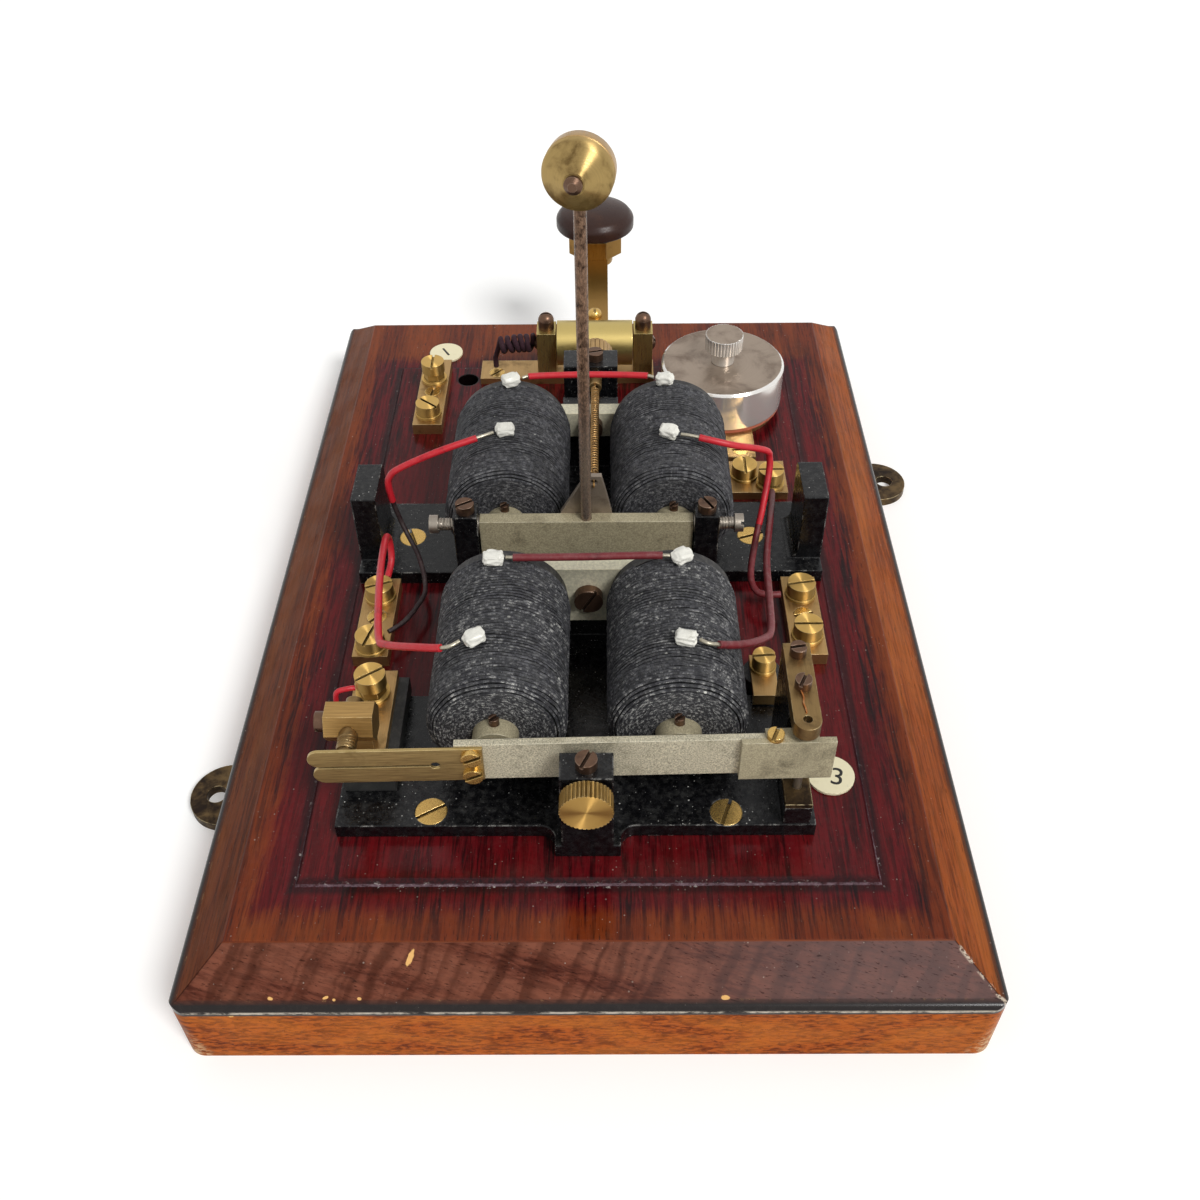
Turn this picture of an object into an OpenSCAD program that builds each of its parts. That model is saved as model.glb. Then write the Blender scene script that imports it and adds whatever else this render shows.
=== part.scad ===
// Railway block bell movement on its wooden base, with relay, bell magnet, hammer and tapper key.
// Millimetres, +Z up, +Y towards the tapper. The origin is the middle of the underside of the base.

/* [Base board] */
// Width of the base across the magnets
base_w = 203.2; // [195:0.1:230]
// Depth of the base from the relay end to the tapper end
base_d = 304.8; // [298:0.1:340]
// Height of the upright edge below the bead
edge_h = 21.1; // [16:0.1:30]
// Radius of the rounded bead above the edge
bead_r = 2.4; // [1:0.1:4]
// Width of the sloping bevel
bevel_run = 11; // [6:0.1:16]
// Rise of the sloping bevel
bevel_rise = 8.85; // [5:0.05:12]
// Radius of the upright corners
corner_r = 5; // [2:0.1:8]
// Height of the raised panel
panel_h = 2; // [1:0.1:4]
// Sloping width of the panel's moulded step
panel_step = 1.2; // [0.4:0.1:2]
// Distance from each side of the base to the panel
panel_side = 28.2; // [20:0.1:28.4]
// Distance from the relay end of the base to the panel
panel_front = 28.4; // [20:0.1:32]
// Distance from the tapper end of the base to the panel
panel_rear = 46.5; // [30:0.1:46.8]
// Diameter of the hole that lets the line wire through
wire_hole_d = 7.5; // [5:0.1:9]

/* [Hanging lugs] */
// Width of a brass hanging lug
lug_w = 22; // [16:0.1:28]
// Thickness of a lug
lug_t = 3; // [2:0.1:5]
// Reach of a lug beyond the base
lug_reach = 17.2; // [14:0.1:24]
// Length of a lug let into the underside
lug_let_in = 30; // [24:0.1:40]
// Distance of each lug from the middle of the base
lug_y = 73.2; // [40:0.1:110]
// Diameter of the hanging hole
lug_hole_d = 6; // [4:0.1:8]
// Distance of the hanging hole from the edge of the base
lug_hole_out = 9.5; // [8:0.1:11]

/* [Bed casting] */
// Thickness of the bed plate
bed_t = 4.5; // [3:0.1:7]
// Distance of the front edge of the bed from the middle of the base
bed_front = 110.4; // [109:0.1:114]
// Reach of the front plate to the left
bed_left = 64.6; // [63:0.1:68]
// Reach of the front plate to the right
bed_right = 58; // [57:0.1:58.1]
// Depth of the front plate
bed_plate_d = 44; // [40:0.1:44.2]
// Width of the tongue below the stop post
tongue_w = 16.6; // [14:0.1:22]
// Reach of the tongue beyond the front plate
tongue_l = 6.2; // [6:0.1:7]
// Radius of the hollows beside the tongue
tongue_round = 4; // [2:0.1:5]
// Width of the spine between the magnets
spine_w = 50; // [40:0.1:56]
// Front edge of the cross arms, ahead of the middle of the base
arm_front = 15.5; // [13:0.1:16.5]
// Rear edge of the cross arms, behind the middle of the base
arm_rear = 18; // [15:0.1:21]
// Thickness of an upright ear
ear_t = 7.4; // [6:0.1:8]
// Inner face of each ear, from the middle of the base
ear_in = 64.5; // [64:0.1:65.4]
// Depth of an ear
ear_d = 19; // [14:0.1:22]
// Height of an ear above the panel
ear_h = 28.6; // [18:0.1:34]
// Chamfer on the rear top corner of an ear
ear_chamfer = 1.5; // [0.5:0.1:4]
// Radius where the ears rise from the arms
ear_fillet = 3; // [1:0.1:3]
// Width of the post that holds the stop screw
stop_post_w = 13; // [10:0.1:16]
// Depth of the stop post
stop_post_d = 8; // [6:0.1:8.4]
// Width of a trunnion post
trunnion_post_w = 7; // [5:0.1:9]
// Depth of a trunnion post
trunnion_post_d = 6.8; // [6:0.1:6.9]
// Width of the post that holds the spring adjuster
spring_post_w = 18; // [12:0.1:22]
// Depth of the spring post
spring_post_d = 10; // [7:0.1:14]
// Metal above the bore at the top of each post
post_cap = 5; // [4:0.1:8]
// Width of the uprights that carry the yokes
upright_w = 18; // [12:0.1:22]
// Depth of those uprights
upright_d = 6; // [4:0.1:9]
// Height of the uprights above the magnet axis
upright_rise = 3; // [1:0.1:4.5]

/* [Magnets] */
// Height of the magnet axes above the panel
axis_h = 25.65; // [25.4:0.05:30]
// Distance of each relay coil from the middle
relay_coil_x = 22.8; // [22.4:0.1:23.4]
// Radius of a relay coil
relay_coil_r = 18; // [15:0.1:18.2]
// Length of a relay coil
relay_coil_l = 46.5; // [40:0.1:48]
// Front end of the relay coils
relay_coil_y = -97.5; // [-98:0.1:-96.5]
// Distance of each bell coil from the middle
bell_coil_x = 24.8; // [24.4:0.1:25.4]
// Radius of a bell coil
bell_coil_r = 18.6; // [16.6:0.1:19]
// Length of a bell coil
bell_coil_l = 45; // [42:0.1:46]
// Front end of the bell coils
bell_coil_y = -16; // [-16.4:0.1:-15]
// Diameter of the soft iron cores
core_d = 8; // [6:0.1:8.2]
// Wall of the bobbin tube
bobbin_t = 1; // [0.6:0.1:2]
// Diameter of a pole shoe
shoe_d = 11.6; // [11.2:0.1:12.4]
// Length of a relay pole shoe beyond its coil
relay_shoe_l = 5.1; // [4.6:0.1:5.2]
// Length of a bell pole shoe beyond its coil
bell_shoe_l = 3.5; // [3.2:0.1:3.6]
// Thickness of the cheek between a coil and its yoke
cheek_t = 3; // [2:0.1:3.4]
// Diameter of the set screw in a pole shoe
shoe_screw_d = 2.6; // [2:0.1:3]
// Height of the set screw above its shoe
shoe_screw_h = 2; // [1:0.1:3]
// Depth to which the set screw enters its shoe
shoe_screw_in = 1.2; // [0.8:0.1:1.3]
// Thickness of a yoke
yoke_t = 5.5; // [4:0.1:7]
// Height of the relay yoke
relay_yoke_h = 19.6; // [14:0.1:21]
// Height of the bell yoke
bell_yoke_h = 9; // [8.6:0.1:9.4]
// Metal of a yoke outside each core
yoke_end = 4; // [2:0.1:6]
// Outer turns that show on each coil
turn_count = 13; // [6:1:14]
// Diameter of the tube that stands for a turn
turn_d = 2.2; // [1.6:0.1:2.4]
// Width of a lead bead
bead_w = 5.5; // [4:0.1:7]
// Depth of a lead bead
bead_d = 4.4; // [3:0.1:6]
// Height of a lead bead
bead_h = 4; // [3:0.1:5]

/* [Hammer] */
// Sideways place of the hammer
hammer_x = -0.8; // [-1.4:0.1:0.4]
// Height of the trunnion axis above the magnet axes
trunnion_rise = 5.2; // [4:0.1:6]
// Distance of the trunnion axis ahead of the bell coils
trunnion_out = 7.2; // [7.1:0.1:9]
// Length of the bell armature
armature_l = 61.8; // [58:0.1:64]
// Thickness of the bell armature
armature_t = 4; // [3.2:0.1:4.2]
// Reach of the bell armature above its trunnion axis
armature_up = 2.2; // [1.8:0.1:3]
// Reach of the bell armature below its trunnion axis
armature_down = 12.2; // [8:0.1:12.4]
// Diameter of the trunnion screws
trunnion_d = 5.4; // [4:0.1:6]
// Diameter of the pivot at the tip of a trunnion screw
pivot_d = 2.4; // [1.6:0.1:2.8]
// Depth to which a pivot enters the armature
pivot_in = 2.6; // [1.5:0.1:4]
// Length of a trunnion screw outside its post
trunnion_tail = 7.2; // [3:0.1:9]
// Width of the triangular gusset
gusset_w = 15; // [10:0.1:16]
// Thickness of the gusset
gusset_t = 1.6; // [1:0.1:1.8]
// Height of the gusset above the armature
gusset_h = 13.4; // [10:0.1:18]
// Length of the gusset lapped behind the armature
gusset_lap = 7; // [4:0.1:9]
// Diameter of the eye for the spring
gusset_eye_d = 2.2; // [1.8:0.1:3]
// Sideways place of the spring and its eye
spring_x = 1.5; // [0.5:0.1:2]
// Diameter of the hammer rod
rod_d = 3.2; // [2.4:0.1:3.4]
// Free length of the rod from the armature to the head
rod_l = 95.6; // [70:0.1:110]
// Depth to which the rod enters the armature and the head
rod_in = 5; // [3:0.1:6]
// Diameter of the hammer head
head_d = 17; // [14:0.1:20]
// Length of the dome behind the head's widest place
head_back = 4; // [3:0.1:9]
// Length of the head's straight band
head_band = 7; // [4:0.1:8]
// Turn of the head to the left
head_turn = 10; // [0:1:20]
// Length of the cone ahead of the head's widest place
head_front = 6.8; // [5:0.1:9]
// Diameter of the steel striking pin
striker_d = 4.4; // [3:0.1:6]
// Length of the striking pin beyond the cone
striker_l = 1.8; // [1:0.1:3]
// Depth to which the striking pin enters the head
striker_in = 3; // [1:0.1:4]
// Outer diameter of the return spring
spring_d = 2.8; // [2.4:0.1:3]
// Wire of the return spring
spring_wire = 0.7; // [0.5:0.05:0.8]
// Curls of the return spring
spring_curls = 20; // [10:1:22]
// Straight wire at each end of the spring's curls
spring_tail = 5; // [3:0.1:8]
// Height of the spring adjuster above the magnet axes
adjuster_rise = 4.2; // [3.6:0.1:5]
// Front face of the spring post
spring_post_y = 52; // [50:0.1:56]
// Diameter of the spring adjuster
adjuster_d = 4.4; // [3.4:0.1:5]
// Length of the adjuster's flat eye ahead of its post
adjuster_eye_l = 5; // [4:0.1:7]
// Diameter of the adjuster's knurled nut
adjuster_nut_d = 12; // [9:0.1:15]
// Length of that nut
adjuster_nut_l = 6; // [4:0.1:8]

/* [Relay] */
// Sideways place of the relay pivot
relay_pivot_x = 52.9; // [52.4:0.1:53.4]
// Distance of the relay pivot ahead of the relay coils
relay_pivot_out = 6.7; // [6.6:0.1:7.2]
// Angle at which the relay armature stands open at rest
relay_open = 1.25; // [1:0.05:1.4]
// Offset of the armature strip from the pivot
strip_shift = 0.3; // [0:0.1:0.5]
// Diameter of the relay pivot pin
relay_pin_d = 2.2; // [1.6:0.1:2.6]
// Thickness of the relay armature strip
strip_armature_t = 1.9; // [1.4:0.1:2]
// Height of the relay armature strip
strip_armature_h = 13; // [11:0.1:14]
// Left end of the relay armature strip
strip_armature_left = 32.2; // [31:0.1:34]
// Length by which the strip laps behind the hinge block
strip_in = 6; // [4:0.1:6.6]
// Length of the hinge block
hinge_l = 23; // [22:0.1:24]
// Thickness of the hinge block's front plate
hinge_t = 1.7; // [1.4:0.1:2]
// Reach of the hinge block's boss behind the pivot
hinge_boss = 2.4; // [2:0.1:3]
// Length of the hinge block beyond the pivot
hinge_end = 7.5; // [5:0.1:9]
// Height of the hinge block
hinge_h = 13.8; // [12:0.1:14.2]
// Length of the contact blade
blade_l = 42.5; // [40:0.1:43]
// Thickness of the contact blade
blade_t = 0.8; // [0.5:0.05:1]
// Height of the contact blade
blade_h = 11.8; // [10:0.1:12.4]
// Length of the blade that laps over the strip
blade_lap = 6.9; // [6:0.1:8]
// Width of the slit between the blade's two leaves
blade_slit = 0.6; // [0.3:0.05:1]
// Length by which the upper leaf is longer
blade_step = 0.6; // [0.3:0.1:2]
// Diameter of the hole at the end of the slit
blade_hole_d = 2.4; // [1.5:0.1:3]
// Width of the upper bearing strap
strap_w = 6.8; // [6.4:0.1:7.4]
// Thickness of the upper bearing strap
strap_t = 4; // [3:0.1:5]
// Length of the strap behind the pivot
strap_l = 25.2; // [24:0.1:26]
// Room between the hinge block and the strap
bearing_room = 1.9; // [1.6:0.1:2.4]
// Room between the hinge block and the lower bearing
lower_room = 6.2; // [5:0.1:7]
// Thickness of the lower bearing plate
lower_bearing_t = 1.4; // [1:0.1:2]
// Depth of the foot below the lower bearing
bearing_foot_d = 11; // [10:0.1:11.8]
// Depth of the post below the strap
strap_post_d = 19; // [17:0.1:19.6]
// Height of the stop screw above the magnet axes
stop_rise = 1; // [0:0.1:2]
// Diameter of the stop screw
stop_d = 4; // [3:0.1:5]
// Diameter of the stop screw's knurled knob
stop_knob_d = 13; // [10:0.1:16]
// Length of that knob
stop_knob_l = 4.6; // [3:0.1:7]
// Length of the collar behind that knob
stop_collar_l = 1.4; // [0.8:0.1:3]

/* [Contact] */
// Sideways place of the contact screw
contact_x = -60.2; // [-60.8:0.1:-59.6]
// Gap between the contact screw and the blade at rest
contact_gap = 1.75; // [1.7:0.05:2.4]
// Diameter of the contact screw
contact_d = 4.8; // [3.6:0.1:5]
// Length of the contact screw's dark tip
contact_tip_l = 4; // [2:0.1:5]
// Length of the contact screw behind its block
contact_tail = 1.2; // [1:0.1:5.6]
// Width of the contact block
contact_w = 12.5; // [11:0.1:13]
// Width of each of the contact block's six sides
contact_side = 5.3; // [5:0.1:5.6]
// Middle of the contact block behind the relay pivot
contact_setback = 12.5; // [12:0.1:13]
// Width of the neck that carries the contact block
contact_neck_w = 7; // [5:0.1:9]
// Width of the insulating block
insulator_w = 13.4; // [12.6:0.1:14]
// Length of the insulating block
insulator_l = 35; // [34.6:0.1:36]
// Height of the insulating block
insulator_h = 5.4; // [4.6:0.1:6]
// Distance of the insulating block behind the front edge of the bed
insulator_set = 11.2; // [10.8:0.1:11.4]
// Width of the contact bracket
bracket_w = 11.4; // [10.6:0.1:11.8]
// Thickness of the contact bracket
bracket_t = 2.8; // [2:0.1:3.2]
// Length of the contact bracket
bracket_l = 33; // [32:0.1:34]

/* [Terminals] */
// Width of the terminal strips
strip_w = 10.4; // [9.8:0.1:11.4]
// Thickness of the terminal strips
strip_t = 4.2; // [3:0.1:5]
// Length of each side strip
side_strip_l = 33; // [31:0.1:35]
// Sideways place of the side strips
side_strip_x = 63.8; // [63:0.1:65]
// Rear end of the side strips, ahead of the middle of the base
side_strip_rear = 17.8; // [17.6:0.1:18.6]
// Distance of each end terminal from the end of its strip
terminal_inset = 7.8; // [6.5:0.1:8.4]
// Length of the line strip
line_strip_l = 41.6; // [40:0.1:43]
// Sideways place of the line strip
line_strip_x = -58.8; // [-60:0.1:-58]
// Rear end of the line strip
line_strip_rear = 104; // [102:0.1:104.5]
// Head diameter of the terminal screws
terminal_head_d = 8.4; // [7:0.1:9]
// Head height of the terminal screws
terminal_head_h = 4; // [3:0.1:5]
// Head diameter of the relay terminal's screw
relay_head_d = 6.4; // [5.4:0.1:7]
// Washer diameter of the terminal screws
washer_d = 9.4; // [9.1:0.1:9.6]
// Washer thickness
washer_t = 1; // [0.6:0.1:1.4]
// Height of the nut below a tall terminal head
terminal_nut_h = 3; // [2:0.1:3.4]
// Diameter of the black bush below the relay terminal
bush_d = 11; // [9.6:0.1:12]
// Height of that bush
bush_h = 7; // [4:0.1:9]
// Place of the relay terminal
relay_terminal_x = 48.8; // [47:0.1:50]
// Place of the relay terminal along the base
relay_terminal_y = -60; // [-61:0.1:-58]
// Width of the relay terminal's tongue
tongue_plate_w = 7; // [5:0.1:8]
// Reach of the tongue ahead of its screw
tongue_plate_l = 10.6; // [8:0.1:10.8]
// Drop of the tongue's bent end
tongue_drop = 1.9; // [1:0.1:2]
// Diameter of the ivory label discs
label_d = 12.8; // [10:0.1:14]
// Thickness of the label discs
label_t = 0.8; // [0.5:0.1:1.5]

/* [Protector] */
// Sideways place of the protector drum
drum_x = 46.8; // [46:0.1:50]
// Place of the protector drum along the base
drum_y = 79; // [77:0.1:81]
// Diameter of the drum
drum_d = 43.6; // [38:0.1:45]
// Height of the drum
drum_h = 14.5; // [10:0.1:18]
// Edge chamfer of the drum
drum_edge = 0.8; // [0.3:0.1:1.5]
// Thickness of the fibre washer
fibre_t = 1.6; // [1:0.1:2.5]
// Thickness of the brass plates below
protector_plate_t = 3.1; // [2:0.1:4]
// Width of the brass plates
protector_plate_w = 20; // [18:0.1:21]
// Length of the line plate that reaches out below the drum
protector_tongue = 35; // [33:0.1:36]
// Air gap between the two plates
protector_gap = 2.4; // [1.6:0.1:3]
// Length of the earth plate
protector_earth_l = 17; // [16:0.1:17.6]
// Shift of the earth plate to the right
protector_shift = 9; // [8.4:0.1:10]
// Diameter of the protector's stud
stud_d = 5; // [4:0.1:6]
// Diameter of the nut's stem
nut_stem_d = 8.2; // [7.5:0.1:10]
// Height of the nut's stem
nut_stem_h = 5.5; // [3:0.1:8]
// Diameter of the knurled nut
nut_d = 13.3; // [10:0.1:16]
// Height of the knurled nut
nut_h = 5.4; // [4:0.1:8]

/* [Tapper] */
// Sideways place of the tapper
tapper_x = 1; // [0:0.1:1.5]
// Tapper's pivot ahead of the rear edge
tapper_in = 52.8; // [52.4:0.1:54]
// Height of the tapper's pivot above the panel
tapper_h = 14.1; // [13:0.1:18]
// Diameter of the tapper's barrel
barrel_d = 16.4; // [14:0.1:17]
// Length of the barrel
barrel_l = 27.8; // [24:0.1:34]
// Width of a tapper pillar
pillar_w = 7; // [5:0.1:9]
// Depth of a tapper pillar
pillar_d = 9; // [7:0.1:10]
// Height of a pillar above its pivot
pillar_rise = 6.4; // [5.8:0.1:9]
// Head diameter of the tall screw on a pillar
pillar_screw_d = 5.8; // [4.6:0.1:6.6]
// Head height of that screw
pillar_screw_h = 7; // [5:0.1:8]
// Diameter of the tapper's pivots
tapper_pin_d = 4; // [3:0.1:5]
// Depth to which a pivot enters the barrel
tapper_pin_in = 5; // [3:0.1:7]
// Thickness of the tapper's base plate
tapper_plate_t = 2.6; // [1.6:0.1:4]
// Depth of the base plate
tapper_plate_d = 12; // [10:0.1:12.4]
// Reach of the base plate to the left, for its terminal
tapper_plate_left = 43; // [41:0.1:44]
// Reach of the base plate to the right
tapper_plate_right = 22; // [22:0.1:24]
// Width of the lever
lever_w = 10; // [7:0.1:12]
// Thickness of the lever
lever_t = 5; // [3.5:0.1:6]
// Height of the lever's top above the pivot
lever_top = 3.8; // [2.5:0.1:5.5]
// Distance of the knob from the pivot
knob_reach = 64.8; // [62:0.1:76]
// Width of the octagonal collar
collar_w = 21; // [17:0.1:24]
// Height of the collar
collar_h = 7.4; // [4:0.1:10]
// Diameter of the knob
knob_d = 31; // [26:0.1:36]
// Height of the knob
knob_h = 11; // [9:0.1:16]
// Diameter of the knob's neck
knob_neck_d = 19; // [15:0.1:20]
// Distance of the return spring from the pivot
key_spring_out = 16; // [14:0.1:18]
// Outer diameter of the key's return spring
key_spring_d = 7; // [5:0.1:8]
// Wire of the key's return spring
key_spring_wire = 1; // [0.7:0.1:1.2]
// Curls of the key's return spring
key_spring_curls = 5; // [3:1:6]
// Distance of the contact stud from the pivot
key_contact_out = 28; // [26:0.1:32]
// Diameter of the contact stud
key_contact_d = 5; // [3:0.1:7]
// Gap between the contact stud and the lever at rest
key_gap = 2.6; // [2.4:0.1:4]
// Outer diameter of the cloth-covered pigtail
pigtail_d = 7; // [5.6:0.1:8]
// Wire of the pigtail
pigtail_wire = 1.6; // [1:0.1:1.7]
// Curls of the pigtail
pigtail_curls = 4; // [2:1:5]
// Length of the pigtail's curls
pigtail_l = 9.6; // [9.4:0.1:11]

/* [Fasteners] */
// Head diameter of the bed screws
bed_screw_d = 8.4; // [7:0.1:9]
// Head diameter of the small countersunk screws
small_screw_d = 6; // [5:0.1:7]
// Shank diameter of the wood screws
wood_shank_d = 3.4; // [2.4:0.1:4]
// Shank length of the wood screws
wood_shank_l = 16; // [10:0.1:18]
// Head diameter of the steel lock screws
lock_head_d = 5.4; // [4.4:0.1:6.4]
// Head height of the steel lock screws
lock_head_h = 2.8; // [2:0.1:4]
// Shank diameter of the steel lock screws
lock_shank_d = 2.6; // [2:0.1:3.2]
// Shank length of the strap and contact screws
short_shank_l = 9; // [6:0.1:12]
// Head diameter of the yoke screws
yoke_screw_d = 8; // [6:0.1:8.6]
// Head diameter of the strap screws and the hinge screw
strap_screw_d = 4.2; // [3.4:0.1:5]
// Head diameter of the blade screws
blade_screw_d = 5; // [4:0.1:5.4]
// Head height of the small relay screws
relay_screw_h = 1.5; // [1:0.1:2]
// Shank diameter of the small relay screws
relay_shank_d = 1.8; // [1.2:0.1:2.2]
// Width of every screwdriver slot
slot_w = 0.9; // [0.6:0.1:1.2]
// Depth of every screwdriver slot
slot_depth = 0.9; // [0.5:0.1:1]

/* [Leads] */
// Diameter of the red insulated leads
lead_d = 2.1; // [1.4:0.1:2.2]
// Diameter of the thin contact lead
thin_lead_d = 1.4; // [1:0.1:1.5]

/* [Clearances] */
// Room round a fixed shank or spigot
fit = 0.05; // [0.02:0.01:0.1]
// Radial room of a running pivot
run = 0.05; // [0.02:0.01:0.1]
// Room between pieces that pass each other
pass = 0.4; // [0.3:0.05:0.8]
// Gap between the stop screw and the armature at rest
stop_gap = 0.1; // [0.05:0.05:0.3]
// Depth by which joined shapes of one piece overlap
merge = 0.2; // [0.1:0.05:0.4]

/* [Hidden] */
$fn = 48;

// Heights of the board, the panel, the bed and the magnet axes
bead_top = edge_h + bead_r;
field_z = bead_top + bevel_rise;
deck_z = field_z + panel_h;
bed_z = deck_z + bed_t;
axis_z = deck_z + axis_h;

// Places along the base
bed_rear_y = spring_post_y + spring_post_d;
relay_rear_y = relay_coil_y + relay_coil_l;
bell_rear_y = bell_coil_y + bell_coil_l;
relay_yoke_y = relay_rear_y + cheek_t;
bell_yoke_y = bell_rear_y + cheek_t;
panel_rear_y = base_d / 2 - panel_rear;
tapper_y = base_d / 2 - tapper_in;
shoe_screw_out = shoe_screw_d * 0.6;

// Hammer
trunnion_y = bell_coil_y - trunnion_out;
trunnion_z = axis_z + trunnion_rise;
armature_top = trunnion_z + armature_up;
armature_back = trunnion_y + armature_t / 2;
trunnion_in = armature_l / 2 + pass;
head_z = armature_top + rod_l + head_d / 2;
eye_z = armature_top + gusset_h - gusset_eye_d;
adjuster_z = axis_z + adjuster_rise;

// Relay
relay_pivot_y = relay_coil_y - relay_pivot_out;
strip_back = relay_pivot_y + strip_shift + strip_armature_t / 2;
strip_front = strip_back - strip_armature_t;
function open_front(x) = relay_pivot_y + (strip_front - relay_pivot_y) * cos(relay_open)
  - (relay_pivot_x - x) * sin(relay_open);
hinge_right = relay_pivot_x + hinge_end;
hinge_left = hinge_right - hinge_l;
strap_z = axis_z + hinge_h / 2 + bearing_room;
lower_bearing_z = axis_z - hinge_h / 2 - lower_room;
foot_z = lower_bearing_z - lower_bearing_t;
foot_y = merge - bed_front;
strap_rear_y = relay_pivot_y + strap_l;
blade_left = -strip_armature_left + blade_lap - blade_l;
stop_z = axis_z + stop_rise;
stop_post_y = -bed_front - tongue_l;

// Contact
insulator_y = -bed_front + insulator_set;
bracket_z = bed_z + insulator_h + bracket_t;
bracket_y = insulator_y + insulator_l - bracket_l;
bracket_x = contact_x + contact_d / 3;
insulator_x = bracket_x + bracket_w / 6;
contact_y = relay_pivot_y + contact_setback;
contact_h = contact_side * sqrt(3);
contact_z = axis_z - 2 * stop_rise;
contact_turn = 20;

// Terminals: place, seat height, shank length, slot angle, nut height and head diameter
strip_z = deck_z + strip_t;
tapper_seat_z = deck_z + tapper_plate_t;
protector_seat_z = deck_z + protector_plate_t;
side_strip_front = -side_strip_rear - side_strip_l;
line_strip_front = line_strip_rear - line_strip_l;
earth_plate_x = drum_x + protector_shift;
line_plate_front = drum_y - protector_tongue;
earth_plate_rear = line_plate_front - protector_gap;
earth_plate_front = earth_plate_rear - protector_earth_l;
bush_z = deck_z + bush_h;
tongue_plate_t = bracket_t * 2 / 3;
contact_terminal_y = bracket_y + bracket_l - terminal_head_d;
deep = strip_t + wood_shank_l / 2;
TERMINALS = [
  [-side_strip_x, -side_strip_rear - terminal_inset, strip_z, deep, 20, 0, terminal_head_d],
  [-side_strip_x, side_strip_front + terminal_inset / 2 + merge, strip_z, deep, 75, 0, terminal_head_d],
  [side_strip_x, -side_strip_rear - terminal_inset, strip_z, deep, 10, 0, terminal_head_d],
  [side_strip_x, side_strip_front + terminal_inset, strip_z, deep, 0, 0, terminal_head_d],
  [line_strip_x, line_strip_front + washer_d * 0.7, strip_z, deep, -40, 0, terminal_head_d],
  [line_strip_x, line_strip_rear - washer_d * 1.4, strip_z, deep, 90, terminal_nut_h, terminal_head_d],
  [bracket_x, contact_terminal_y, bracket_z, bracket_t + insulator_h / 2, 35, terminal_nut_h, terminal_head_d],
  [relay_terminal_x, relay_terminal_y, bush_z + tongue_plate_t, bush_h, 5, 0, relay_head_d],
  [earth_plate_x - terminal_inset / 2 - merge, earth_plate_rear - terminal_inset,
    protector_seat_z, deep, 90, 0, terminal_head_d],
  [earth_plate_x + terminal_inset / 2 + 2 * merge, earth_plate_front + terminal_inset / 2 + 2 * merge,
    protector_seat_z, deep, 0, terminal_nut_h / 2, terminal_head_d]];

// Countersunk screws: place, height of the flat, head diameter, up or down, slot angle
arm_screw_x = ear_in - bed_screw_d * 0.9;
lug_screw_x = base_w / 2 - lug_let_in / 2;
COUNTERSUNK = [
  [-40.4, bed_screw_d / 2 - bed_front + 2 * merge, bed_z, bed_screw_d, 1, 30],
  [35.4, bed_screw_d / 2 - bed_front - merge, bed_z, bed_screw_d, 1, 70],
  [-arm_screw_x, (arm_rear - arm_front) / 2, bed_z, bed_screw_d, 1, 110],
  [arm_screw_x - small_screw_d, (arm_rear - arm_front) / 2, bed_z, bed_screw_d, 1, 20],
  [-side_strip_x, -side_strip_rear - side_strip_l / 2 - merge, strip_z, small_screw_d, 1, 50],
  [side_strip_x, -side_strip_rear - side_strip_l / 2, strip_z, small_screw_d, 1, 15],
  [line_strip_x, line_strip_rear - line_strip_l / 2 - merge, strip_z, small_screw_d, 1, 80],
  [drum_x + protector_plate_w / 4, line_plate_front + terminal_inset / 2 + merge,
    protector_seat_z, small_screw_d, 1, 0],
  [tapper_x - tapper_plate_left + small_screw_d, tapper_y - small_screw_d / 3, tapper_seat_z, small_screw_d, 1, 45],
  [tapper_x, tapper_y, tapper_seat_z, small_screw_d, 1, 0],
  [lug_screw_x + lug_let_in / 4, lug_y, 0, small_screw_d, -1, 0],
  [lug_screw_x - lug_let_in / 4, lug_y, 0, small_screw_d, -1, 60],
  [-lug_screw_x - lug_let_in / 4, -lug_y, 0, small_screw_d, -1, 25],
  [-lug_screw_x + lug_let_in / 4, -lug_y, 0, small_screw_d, -1, 90]];

// Places of the two label discs
LABELS = [[64.6, -91.6], [-57.4, tapper_y + 18]];

// Tapper
tapper_z = deck_z + tapper_h;
lever_z = tapper_z + lever_top;
knob_y = tapper_y + knob_reach;
pillar_in = barrel_l / 2 + pass;
pillar_top = tapper_z + pillar_rise;
pigtail_x = tapper_x - pillar_in - pillar_w - lock_head_h / 2 - pass / 4;

// Sides and rings of the swept wires
lead_sides = 8;
lead_steps = 3;
coil_sides = 6;
coil_rings = 8;
turn_sides = 4;
turn_rings = 14;

// Routes of the leads, from each coil's bead to its terminal
bell_top = axis_z + bell_coil_r;
relay_top = axis_z + relay_coil_r;
BELL_LEFT = [[-28.4, 1, 80], [-33, -1.6, 80], [-45, -5, 77.4], [-56.4, -5, 71.6], [-60, -4.6, 68],
  [-60.8, -4.4, 64], [-60, -4, 56], [-57.4, -6, 48], [-53, -13, 43], [-50, -25, 41], [-52, -33, 40.8],
  [-55, -39, 40.8], [-59, -43, 40.8]];
RELAY_LEFT = [[-31.4, -83.8, 79], [-35, -85.4, 78.4], [-43, -81, 74], [-52, -74, 67.6], [-55.2, -69, 65],
  [-58, -51, 62], [-60.2, -33, 58], [-61.4, -18, 54.4], [-61.6, -13, 51.4], [-61.4, -12.4, 47],
  [-61.4, -14.6, 43], [-62.2, -19.6, 40.8]];
BELL_RIGHT = [[27.2, -0.4, 80], [31, -1.4, 80], [42, -2.4, 77.6], [53, 3.6, 71], [55, 5, 67], [55, 3, 62],
  [53, -4, 54], [51, -10, 47], [49, -20, 42], [50, -26, 40.8], [53, -28, 40.8], [57.4, -28, 40.8]];
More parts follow.
